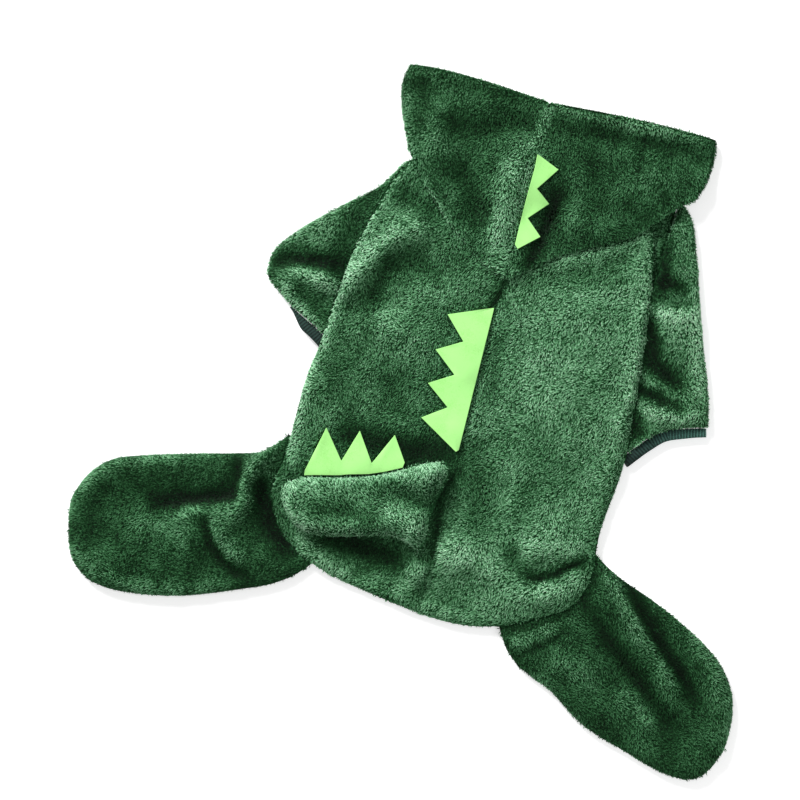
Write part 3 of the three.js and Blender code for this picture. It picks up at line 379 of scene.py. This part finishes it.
def ripple(places, size, seed, waves=9):
    """Soft random hills between about -1 and 1, size millimetres across."""
    random = np.random.default_rng(seed)
    total = np.zeros(len(places))
    for _ in range(waves):
        turn = random.uniform(0, 2 * math.pi)
        pitch = 2 * math.pi / (size * random.uniform(*WAVE_RANGE))
        wave = pitch * (math.cos(turn) * places[:, 0] + math.sin(turn) * places[:, 1])
        total += np.sin(wave + random.uniform(0, 2 * math.pi))
    return total / math.sqrt(waves)


def ripples(places, parts):
    return sum(part["high"] * ripple(places, part["size"], part["seed"]) for part in parts)


def coordinates(mesh):
    found = np.zeros(len(mesh.vertices) * 3)
    mesh.vertices.foreach_get("co", found)
    return found.reshape(-1, 3)


SAME_POINT = 0.01 * MM
# Two triangles make a four-sided face when they are this flat and it is this square.
PAIR_ANGLE = math.radians(50)
PAIR_SKEW = math.radians(60)
# An edge this steep stays sharp, by this share, when its mesh is rounded.
SEAM_ANGLE = math.radians(55)
SEAM_SHARPNESS = 0.8


def solid_form(node):
    """A solid's form to work on, with its shared corners joined."""
    form = bmesh.new()
    form.from_mesh(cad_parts[node].data)
    bmesh.ops.remove_doubles(form, verts=form.verts, dist=SAME_POINT)
    return form


def mesh_of(form, name):
    mesh = bpy.data.meshes.new(name)
    form.to_mesh(mesh)
    form.free()
    return mesh


def welded(node):
    """A copy of a solid's mesh, with its triangles paired and its seams marked."""
    form = solid_form(node)
    bmesh.ops.join_triangles(
        form, faces=form.faces, angle_face_threshold=PAIR_ANGLE, angle_shape_threshold=PAIR_SKEW
    )
    sharpness = form.edges.layers.float.new("crease_edge")
    for edge in form.edges:
        if edge.is_manifold and edge.calc_face_angle(0) > SEAM_ANGLE:
            edge[sharpness] = SEAM_SHARPNESS
    return mesh_of(form, node)


def add_object(name, mesh, material):
    made = bpy.data.objects.new(name, mesh)
    bpy.context.scene.collection.objects.link(made)
    mesh.materials.clear()
    mesh.materials.append(material)
    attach(made, "root")
    return made


def subdivided(mesh, levels):
    """The mesh with its facets rounded away by Catmull-Clark subdivision."""
    if levels == 0:
        return mesh
    holder = bpy.data.objects.new("holder", mesh)
    bpy.context.scene.collection.objects.link(holder)
    modifier = holder.modifiers.new("round", "SUBSURF")
    modifier.levels = levels
    modifier.render_levels = levels
    graph = bpy.context.evaluated_depsgraph_get()
    result = bpy.data.meshes.new_from_object(holder.evaluated_get(graph))
    bpy.data.objects.remove(holder)
    return result


def triangles_of(mesh):
    mesh.calc_loop_triangles()
    found = np.zeros(len(mesh.loop_triangles) * 3, np.int32)
    mesh.loop_triangles.foreach_get("vertices", found)
    return found.reshape(-1, 3)


def vertex_normals(mesh):
    found = np.zeros(len(mesh.vertices) * 3)
    mesh.vertex_normals.foreach_get("vector", found)
    return found.reshape(-1, 3)


# The cloth's soft unevenness, in millimetres.
UNDULATION = [{"high": 0.55, "size": 26, "seed": 5}, {"high": 0.3, "size": 11, "seed": 8}]
# The creases leave what lies below the first level as it is, and move all above the second fully.
LAYER_TOP = 4.0 * MM
FREE_LEVEL = 8.0 * MM
# No trough goes deeper than this.
LOWEST_TROUGH = 5.8 * MM


def lifted(points):
    """The points moved up or down by the creases, all layers alike but the lowest, which stays flat."""
    places = garment(points)
    height = crease_sum(places, CREASES, "height")
    height += ripples(places, UNDULATION)
    free = smooth_share((points[:, 2] - LAYER_TOP) / (FREE_LEVEL - LAYER_TOP))
    moved = points.copy()
    moved[:, 2] += height * free * MM
    moved[:, 2] = np.maximum(moved[:, 2], np.minimum(points[:, 2], LOWEST_TROUGH))
    return moved


def tree_of(pieces):
    """One tree of the triangles of all the pieces, to cast rays at."""
    points = []
    faces = []
    for piece in pieces:
        faces.append(triangles_of(piece.data) + sum(len(p) for p in points))
        points.append(coordinates(piece.data))
    return BVHTree.FromPolygons(np.concatenate(points).tolist(), np.concatenate(faces).tolist())


SOLIDS = tree_of(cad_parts.values())
# How near a neighbour is at a seam, and how steep a side has to be to have one.
SEAM_REACH = 1.3 * MM
SEAM_START = 0.05 * MM
STEEPEST_TOP = 0.75
# The belly's seams are drawn together by this much, so that no floor shows through them.
BELLY_SEAM = 1.3 * MM


def inset(mesh, seam):
    """The mesh's points moved in by the nap's depth, or out by the seam's where a neighbour is near."""
    points = coordinates(mesh)
    normals = vertex_normals(mesh)
    depth = np.full(len(points), NAP_INSET)
    for i, (point, normal) in enumerate(zip(points, normals)):
        way = Vector(normal)
        if abs(way.z) < STEEPEST_TOP and meets_neighbour(Vector(point), way):
            depth[i] = -seam
    return points - normals * depth[:, None]


def meets_neighbour(point, way):
    """Whether the ray leaves its own solid, if it starts inside it, and soon enters another."""
    start = point - way * SEAM_START
    for _ in range(2):
        place, normal, _, _ = SOLIDS.ray_cast(start, way, SEAM_REACH)
        if place is None:
            return False
        if normal.dot(way) < 0:
            return True
        start = place + way * SAME_POINT
    return False


def make_shell(node, facts, material):
    mesh = subdivided(welded(node), facts["levels"])
    seam = BELLY_SEAM if node == "belly" else 0
    mesh.vertices.foreach_set("co", lifted(inset(mesh, seam)).ravel())
    mesh.update()
    mesh.polygons.foreach_set("use_smooth", [True] * len(mesh.polygons))
    shell = add_object("cloth_" + node, mesh, material)
    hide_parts(node)
    return shell


# The ways that a place may be seen from: rings of them, tilted from straight up by so many radians.
LOOK_RINGS = [(0, 1), (0.7, 6), (1.25, 8)]
LOOKS = [
    Vector((math.sin(tilt) * math.cos(turn), math.sin(tilt) * math.sin(turn), math.cos(tilt)))
    for tilt, turns in LOOK_RINGS
    for turn in (2 * math.pi * i / turns for i in range(turns))
]
# A place shows when nothing lies within this of it along a look that meets it this steeply.
SIGHT = 60 * MM
SIGHT_START = 0.25 * MM
GRAZING = 0.05
# No tuft grows on cloth that faces down more than this.
LOWEST_NORMAL = -0.45
# A layer that lies nearer than this over a place presses its nap flat.
PRESSED = 3.5 * MM


def shown_places(roots, normals, tree):
    """Which places on a shell can be seen from one of the looks."""
    shown = np.zeros(len(roots), bool)
    for i in np.flatnonzero(normals[:, 2] > LOWEST_NORMAL):
        normal = Vector(normals[i])
        start = Vector(roots[i]) + normal * SIGHT_START
        if tree.ray_cast(start, LOOKS[0], PRESSED)[0] is not None:
            continue
        for look in LOOKS:
            if look.dot(normal) > GRAZING and tree.ray_cast(start, look, SIGHT)[0] is None:
                shown[i] = True
                break
    return shown


def unit(rows):
    return rows / np.maximum(np.linalg.norm(rows, axis=1), 1e-12)[:, None]


def spread_over(mesh, random):
    """Evenly spread places on a mesh, and the smooth normal at each."""
    points = coordinates(mesh)
    triangles = triangles_of(mesh)
    a, b, c = (points[triangles[:, k]] for k in range(3))
    reach = np.cumsum(np.linalg.norm(np.cross(b - a, c - a), axis=1) / 2)
    count = int(TUFTS_PER_MM2 * reach[-1] / MM**2)
    steps = (np.arange(count) + random.random(count)) / count * reach[-1]
    picked = np.minimum(np.searchsorted(reach, steps), len(triangles) - 1)
    u, v = random.random(count), random.random(count)
    over = u + v > 1
    u[over], v[over] = 1 - u[over], 1 - v[over]
    shares = np.stack([1 - u - v, u, v], axis=1)[:, :, None]
    corners = triangles[picked]
    normals = (vertex_normals(mesh)[corners] * shares).sum(axis=1)
    return (points[corners] * shares).sum(axis=1), unit(normals)


class Relief:
    """How far the upper surface lies above or below its surroundings, in millimetres."""

    STEP = 3.0
    SPREAD = 13.0
    LOWEST = 6.3
    ABOVE_ALL = 0.2

    def __init__(self, tree):
        low, high = (np.array(corner[:2]) / MM for corner in cad_box)
        self.low = low - NECK - 2 * self.STEP
        counts = np.ceil((high - low) / self.STEP).astype(int) + 5
        heights = np.zeros(counts)
        for i, j in np.ndindex(*counts):
            x, y = (self.low + NECK + self.STEP * np.array([i, j])) * MM
            place = tree.ray_cast(Vector((x, y, self.ABOVE_ALL)), Vector((0, 0, -1)))[0]
            heights[i, j] = place.z / MM if place else 0
        covered = (heights > 0).astype(float)
        heights = np.maximum(heights, self.LOWEST) * covered
        around = self.blurred(heights) / np.maximum(self.blurred(covered), 1e-6)
        self.map = (heights - around) * covered

    def blurred(self, values):
        reach = int(3 * self.SPREAD / self.STEP)
        kernel = np.exp(-0.5 * (np.arange(-reach, reach + 1) * self.STEP / self.SPREAD) ** 2)
        kernel /= kernel.sum()
        rows = np.apply_along_axis(np.convolve, 0, values, kernel, "same")
        return np.apply_along_axis(np.convolve, 1, rows, kernel, "same")

    def at(self, places):
        spot = np.clip((places - self.low) / self.STEP, 0, np.array(self.map.shape) - 1.001)
        cell = spot.astype(int)
        share = spot - cell
        i, j = cell.T
        s, t = share.T
        near = self.map[i, j] * (1 - t) + self.map[i, j + 1] * t
        far = self.map[i + 1, j] * (1 - t) + self.map[i + 1, j + 1] * t
        return near * (1 - s) + far * s


def shown_roots(shell, tree, random):
    """The roots of a shell's tufts, where it shows, and the cloth's normals there."""
    roots, up = spread_over(shell.data, random)
    kept = np.flatnonzero(shown_places(roots, up, tree))
    if len(kept) > MOST_TUFTS:
        kept = np.sort(random.choice(kept, MOST_TUFTS, replace=False))
    return roots[kept], up[kept]


def tuft_corners(facts, roots, up, random):
    """Each tuft's corners: a sunk root, two where it is widest, at its bend, and a tip."""
    count = len(roots)
    places = garment(roots)
    swirl = ripples(places, SWIRLS)
    stray = random.random(count) < STRAY_SHARE
    turn = math.radians(facts["nap"]) + swirl + random.normal(0, TURN_SPREAD, count)
    turn[stray] = random.uniform(0, 2 * math.pi, stray.sum())
    lay = np.stack([np.cos(turn), np.sin(turn), np.zeros(count)], axis=1)
    lay = unit(lay - (lay * up).sum(axis=1)[:, None] * up)
    level = smooth_share(up[:, 2])
    length = TUFT_LENGTH * random.uniform(*LENGTH_RANGE, count)
    length *= STEEP_LENGTH + (1 - STEEP_LENGTH) * level
    width = TUFT_WIDTH * random.uniform(*WIDTH_RANGE, count)
    lean = facts["lean"] + random.normal(0, LEAN_SPREAD, count) + ripples(places, LEAN_WAVES)
    lean = np.radians(lean)
    lean[stray] *= STRAY_LEAN
    lean *= STEEP_LEAN + (1 - STEEP_LEAN) * level
    bend = lean + np.radians(random.uniform(*BEND_RANGE, count))

    def along(angle, share):
        return (np.cos(angle)[:, None] * up + np.sin(angle)[:, None] * lay) * (length * share)[:, None]

    middle = roots + along(lean, BEND_AT)
    tip = middle + along(bend, 1 - BEND_AT)
    half = np.cross(up, lay) * width[:, None]
    corners = np.stack([roots - up * TUFT_ROOT, middle + half, middle - half, tip], axis=1)
    corners[:, :, 2] = np.maximum(corners[:, :, 2], LOWEST_TUFT)
    return corners


def tuft_mesh(name, corners, up):
    """The tufts as one mesh, each shaded by its own form and by the cloth's under it."""
    count = len(corners)
    mesh = bpy.data.meshes.new(name)
    mesh.vertices.add(4 * count)
    mesh.vertices.foreach_set("co", corners.ravel())
    loops = (TUFT_FACES + 4 * np.arange(count)[:, None, None]).ravel()
    mesh.loops.add(len(loops))
    mesh.loops.foreach_set("vertex_index", loops)
    mesh.polygons.add(4 * count)
    mesh.polygons.foreach_set("loop_start", np.arange(0, len(loops), 3))
    mesh.polygons.foreach_set("use_smooth", np.ones(4 * count, bool))
    mesh.update(calc_edges=True)
    spread = corners - corners.mean(axis=1)[:, None, :]
    form = unit(up + [0, 0, SOFT_SIDE])
    shading = unit(unit(spread.reshape(-1, 3)) * OWN_SHADING + np.repeat(form, 4, axis=0))
    mesh.normals_split_custom_set_from_vertices(shading)
    return mesh


def tuft_tones_and_painted_light(facts, roots, up, relief, random):
    """How light each tuft is painted: its piece's tone, a random mottle and spread, and painted shade
    and highlight from the creases, the relief, the slopes that face the key light and the rims.
    """
    places = garment(roots)
    mottle = MOTTLE * (UNMOTTLED_TONE - facts["tone_and_painted_light"])
    patches = mottle * ripples(places, MOTTLES)
    spread = random.normal(0, TONE_SPREAD, len(roots))
    tone_and_painted_light = facts["tone_and_painted_light"] * np.clip(1 + patches + spread, *TONE_RANGE)
    painted_light_change = crease_sum(places, facts["creases"], "nap") + RELIEF_SHADE_AND_HIGHLIGHT * relief.at(places)
    painted_rim_sheen = RIM_PAINTED_SHEEN * np.clip(1 - up[:, 2], 0, 1) ** RIM_POWER
    painted_light_change += SLOPE_PAINTED_LIGHT * (up[:, :2] @ LIT_SIDE) + painted_rim_sheen
    return tone_and_painted_light * np.exp(np.where(painted_light_change > 0, MOST_PAINTED_HIGHLIGHT * np.tanh(painted_light_change / MOST_PAINTED_HIGHLIGHT), painted_light_change))


def make_pile(node, facts, shell, tree, relief, material, seed):
    """Short leaning tufts over what shows of a shell."""
    random = np.random.default_rng(seed)
    roots, up = shown_roots(shell, tree, random)
    mesh = tuft_mesh("pile_" + node, tuft_corners(facts, roots, up, random), up)
    # Each tuft's tone, with its painted shade and painted highlight.
    add_attribute(mesh, "tone_and_painted_light", np.repeat(tuft_tones_and_painted_light(facts, roots, up, relief, random), 4))
    add_attribute(mesh, "along", np.tile(ALONG, len(roots)))
    return add_object("pile_" + node, mesh, material)


def new_material(name, **values):
    material = bpy.data.materials.new(name)
    material.use_nodes = True
    shader = material.node_tree.nodes["Principled BSDF"]
    for socket, value in values.items():
        shader.inputs[socket.replace("_", " ")].default_value = value
    return material, material.node_tree.nodes, material.node_tree.links, shader


def linear(red, green, blue):
    """An sRGB colour given in 0 to 255, as Blender's linear colour."""
    parts = [x / 255 for x in (red, green, blue)]
    return (*[x / 12.92 if x <= 0.04045 else ((x + 0.055) / 1.055) ** 2.4 for x in parts], 1.0)


# Painted shade: the ground between the tufts is dark, as the pile's shadowed depth.
GROUND_SHADE_GREENS = [(0.35, linear(14, 42, 20)), (0.75, linear(44, 92, 54))]
FELT_GREENS = [(0.6, linear(150, 224, 116)), (1.3, linear(172, 244, 140))]
# Painted shade and highlight: the rib grooves are dark and the ridges light, with the stitches' own
# random grain.
RIB_SHADE_AND_HIGHLIGHT_GREENS = [(0.1, linear(20, 46, 41)), (0.95, linear(82, 134, 120))]
# The colour of a tuft by how light it is: the deeper, the more saturated.
TUFT_GREENS = [
    (0.0, linear(2, 9, 4)),
    (0.05, linear(23, 65, 31)),
    (0.175, linear(66, 121, 77)),
    (0.5, linear(137, 196, 149)),
    (1.0, linear(196, 240, 203)),
]
# How light a tuft is painted from its root to its tip: dark roots as painted shade deep in the pile.
TUFT_PAINTED_ROOT_SHADE = [(0.1, 0.03), (0.6, 0.2), (1.0, 0.54)]


def attribute_value(nodes, name):
    node = nodes.new("ShaderNodeAttribute")
    node.attribute_name = name
    return node.outputs["Fac"]


def noise(nodes, links, **values):
    """A noise in the piece's own coordinates, so that its scale is for each metre."""
    place = nodes.new("ShaderNodeTexCoord")
    node = nodes.new("ShaderNodeTexNoise")
    for socket, value in values.items():
        node.inputs[socket].default_value = value
    links.new(place.outputs["Object"], node.inputs["Vector"])
    return node.outputs["Fac"]


def math_node(nodes, links, operation, first, second=None):
    """A Math node on one linked value and one linked or constant value."""
    node = nodes.new("ShaderNodeMath")
    node.operation = operation
    links.new(first, node.inputs[0])
    if isinstance(second, bpy.types.NodeSocket):
        links.new(second, node.inputs[1])
    elif second is not None:
        node.inputs[1].default_value = second
    return node.outputs["Value"]


def colour_ramp(nodes, links, value, stops):
    node = nodes.new("ShaderNodeValToRGB")
    elements = node.color_ramp.elements
    for i, (position, colour) in enumerate(stops):
        element = elements[i] if i < 2 else elements.new(position)
        element.position = position
        element.color = colour
    links.new(value, node.inputs["Fac"])
    return node.outputs["Color"]


def add_bump(nodes, links, shader, height, strength, distance):
    node = nodes.new("ShaderNodeBump")
    node.inputs["Strength"].default_value = strength
    node.inputs["Distance"].default_value = distance
    links.new(height, node.inputs["Height"])
    links.new(node.outputs["Normal"], shader.inputs["Normal"])


def pile_material():
    material, nodes, links, shader = new_material(
        "plush_tufts", Roughness=0.68, Sheen_Weight=0.12, Sheen_Roughness=0.4
    )
    shader.inputs["Sheen Tint"].default_value = linear(150, 220, 155)
    shader.inputs["Specular IOR Level"].default_value = 0.12
    # Tufts are painted dark at the root as shade deep in the pile, times their tone with its painted
    # shade and highlight.
    greys = [(place, (value, value, value, 1)) for place, value in TUFT_PAINTED_ROOT_SHADE]
    painted_root_shade = colour_ramp(nodes, links, attribute_value(nodes, "along"), greys)
    product = math_node(nodes, links, "MULTIPLY", painted_root_shade, attribute_value(nodes, "tone_and_painted_light"))
    links.new(colour_ramp(nodes, links, product, TUFT_GREENS), shader.inputs["Base Color"])
    return material


def ground_material():
    """The knitted ground between the tufts: painted dark as the shade deep in the pile, with a fine
    mottle and bump.
    """
    material, nodes, links, shader = new_material("plush_ground", Roughness=0.95)
    shader.inputs["Specular IOR Level"].default_value = 0.05
    grain = noise(nodes, links, Scale=650, Detail=4)
    links.new(colour_ramp(nodes, links, grain, GROUND_SHADE_GREENS), shader.inputs["Base Color"])
    add_bump(nodes, links, shader, grain, 0.8, 0.6 * MM)
    return material


def felt_material():
    material, nodes, links, shader = new_material("felt", Roughness=0.85, Sheen_Weight=0.25)
    fibres = noise(nodes, links, Scale=900, Detail=5, Distortion=1.2)
    cloud = noise(nodes, links, Scale=60)
    total = math_node(nodes, links, "ADD", fibres, cloud)
    links.new(colour_ramp(nodes, links, total, FELT_GREENS), shader.inputs["Base Color"])
    add_bump(nodes, links, shader, fibres, 0.35, 0.2 * MM)
    return material


def rib_material():
    """Rib knit: ridges across the band, from the attribute of how far along it a place is, painted
    darker in the grooves and lighter on the ridges as painted shade and highlight, and scaled by the
    band's painted shadow.
    """
    material, nodes, links, shader = new_material("rib_knit", Roughness=0.75, Sheen_Weight=0.15)
    shader.inputs["Specular IOR Level"].default_value = 0.2
    along = attribute_value(nodes, "along")
    turns = math_node(nodes, links, "MULTIPLY", along, 2 * math.pi / RIB_PITCH)
    wave = math_node(nodes, links, "SINE", turns)
    ribs = math_node(nodes, links, "MULTIPLY", wave, RIB_HEIGHT)
    height = math_node(nodes, links, "ADD", ribs, noise(nodes, links, Scale=1100, Detail=2))
    shade = nodes.new("ShaderNodeVectorMath")
    shade.operation = "SCALE"
    links.new(colour_ramp(nodes, links, height, RIB_SHADE_AND_HIGHLIGHT_GREENS), shade.inputs[0])
    links.new(attribute_value(nodes, "light"), shade.inputs["Scale"])
    links.new(shade.outputs["Vector"], shader.inputs["Base Color"])
    add_bump(nodes, links, shader, height, 0.8, 0.45 * MM)
    return material


def make_fleece():
    ground = ground_material()
    tufts = pile_material()
    shells = {node: make_shell(node, facts, ground) for node, facts in FLEECE.items()}
    combs = make_combs()
    cuffs = make_cuffs()
    tree = tree_of([*shells.values(), *combs, *cuffs])
    relief = Relief(tree)
    for seed, (node, facts) in enumerate(FLEECE.items()):
        pile = make_pile(node, facts, shells[node], tree, relief, tufts, 20 * seed + 11)


COMBS = {
    "comb_hood": {"under": "hood_right", "cut": (0.020, 0.076)},
    "comb_back": {"under": "back_left", "cut": (0.038, 0.119)},
    "comb_tail": {"under": "back_left", "cut": (0.076, 0.044)},
}
# The felt's cut edges are bevelled where its sides meet at more than the first angle, and look
# smooth where they meet at less than the second.
CUT_EDGE = 0.25 * MM
CUT_ANGLE = math.radians(40)
SMOOTH_ANGLE = math.radians(32)


def make_combs():
    material = felt_material()
    made = []
    for node, facts in COMBS.items():
        form = solid_form(node)
        sharp = [e for e in form.edges if e.is_manifold and e.calc_face_angle(0) > CUT_ANGLE]
        bmesh.ops.bevel(form, geom=sharp, offset=CUT_EDGE, segments=1, affect="EDGES")
        for face in form.faces:
            face.smooth = True
        for edge in form.edges:
            edge.smooth = edge.calc_face_angle(0) < SMOOTH_ANGLE
        mesh = mesh_of(form, node)
        mesh.vertices.foreach_set("co", lifted(coordinates(mesh)).ravel())
        comb = add_object("felt_" + node, mesh, material)
        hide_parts(node)
        made.append(comb)
    return made


# Each band of rib knit: its middle line, and how light it is painted at the line's two ends, darker
# where it lies in shadow, as a painted shadow.
CUFFS = {
    "cuff_left": {
        "under": "sleeve_left", "cut": (0.086, 0.0105), "light": (0.3, 0.22),
        "line": [(-174, -50), (-156, -67), (-136, -82), (-116, -94)],
    },
    "cuff_right": {
        "under": "sleeve_right", "cut": (0.134, 0.0105), "light": (0.1, 1.15),
        "line": [(124, -130), (131, -118), (138, -107), (145, -97), (156, -88), (169, -84), (192, -79)],
    },
}
RIB_PITCH = 2.4
# The height of a rib, against that of the stitches.
RIB_HEIGHT = 0.3


def add_attribute(mesh, name, values):
    attribute = mesh.attributes.new(name, "FLOAT", "POINT")
    attribute.data.foreach_set("value", np.asarray(values, np.float32))


def make_cuffs():
    material = rib_material()
    made = []
    for node, facts in CUFFS.items():
        mesh = subdivided(welded(node), 1)
        _, along, length = along_path(garment(coordinates(mesh)), facts["line"])
        add_attribute(mesh, "along", along)
        # The light attribute is a painted shadow along the band, darker where it lies in shade.
        start, end = facts["light"]
        add_attribute(mesh, "light", start + (end - start) * smooth_share(along / length))
        mesh.vertices.foreach_set("co", lifted(coordinates(mesh)).ravel())
        mesh.polygons.foreach_set("use_smooth", [True] * len(mesh.polygons))
        cuff = add_object("knit_" + node, mesh, material)
        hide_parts(node)
        made.append(cuff)
    return made


make_fleece()


def area_light(name, place, aim, size, power):
    data = bpy.data.lights.new(name, "AREA")
    data.shape = "DISK"
    data.size = size
    data.energy = power
    light = bpy.data.objects.new(name, data)
    light.location = place
    light.rotation_mode = "QUATERNION"
    light.rotation_quaternion = (Vector(aim) - Vector(place)).to_track_quat("-Z", "Y")
    bpy.context.scene.collection.objects.link(light)


def make_surroundings():
    mesh = bpy.data.meshes.new("floor")
    half = 6.0
    corners = [(-half, -half, 0), (half, -half, 0), (half, half, 0), (-half, half, 0)]
    mesh.from_pydata(corners, [], [(0, 1, 2, 3)])
    floor = bpy.data.objects.new("floor", mesh)
    bpy.context.scene.collection.objects.link(floor)
    material, _, _, shader = new_material("pale_floor", Roughness=0.9)
    shader.inputs["Base Color"].default_value = (0.9, 0.9, 0.9, 1)
    shader.inputs["Emission Color"].default_value = (1, 1, 1, 1)
    shader.inputs["Emission Strength"].default_value = 0.48
    mesh.materials.append(material)

    world = bpy.data.worlds.new("studio")
    world.use_nodes = True
    world.node_tree.nodes["Background"].inputs["Color"].default_value = (1, 1, 1, 1)
    world.node_tree.nodes["Background"].inputs["Strength"].default_value = 0.33
    bpy.context.scene.world = world
    bpy.context.scene.view_settings.view_transform = "Standard"

    area_light("key", place=(-2.7, 2.6, 2.2), aim=(-0.03, 0, 0), size=1.6, power=270)
    area_light("fill", place=(2.4, -1.6, 2.4), aim=(0, -0.1, 0), size=2.4, power=40)


make_surroundings()
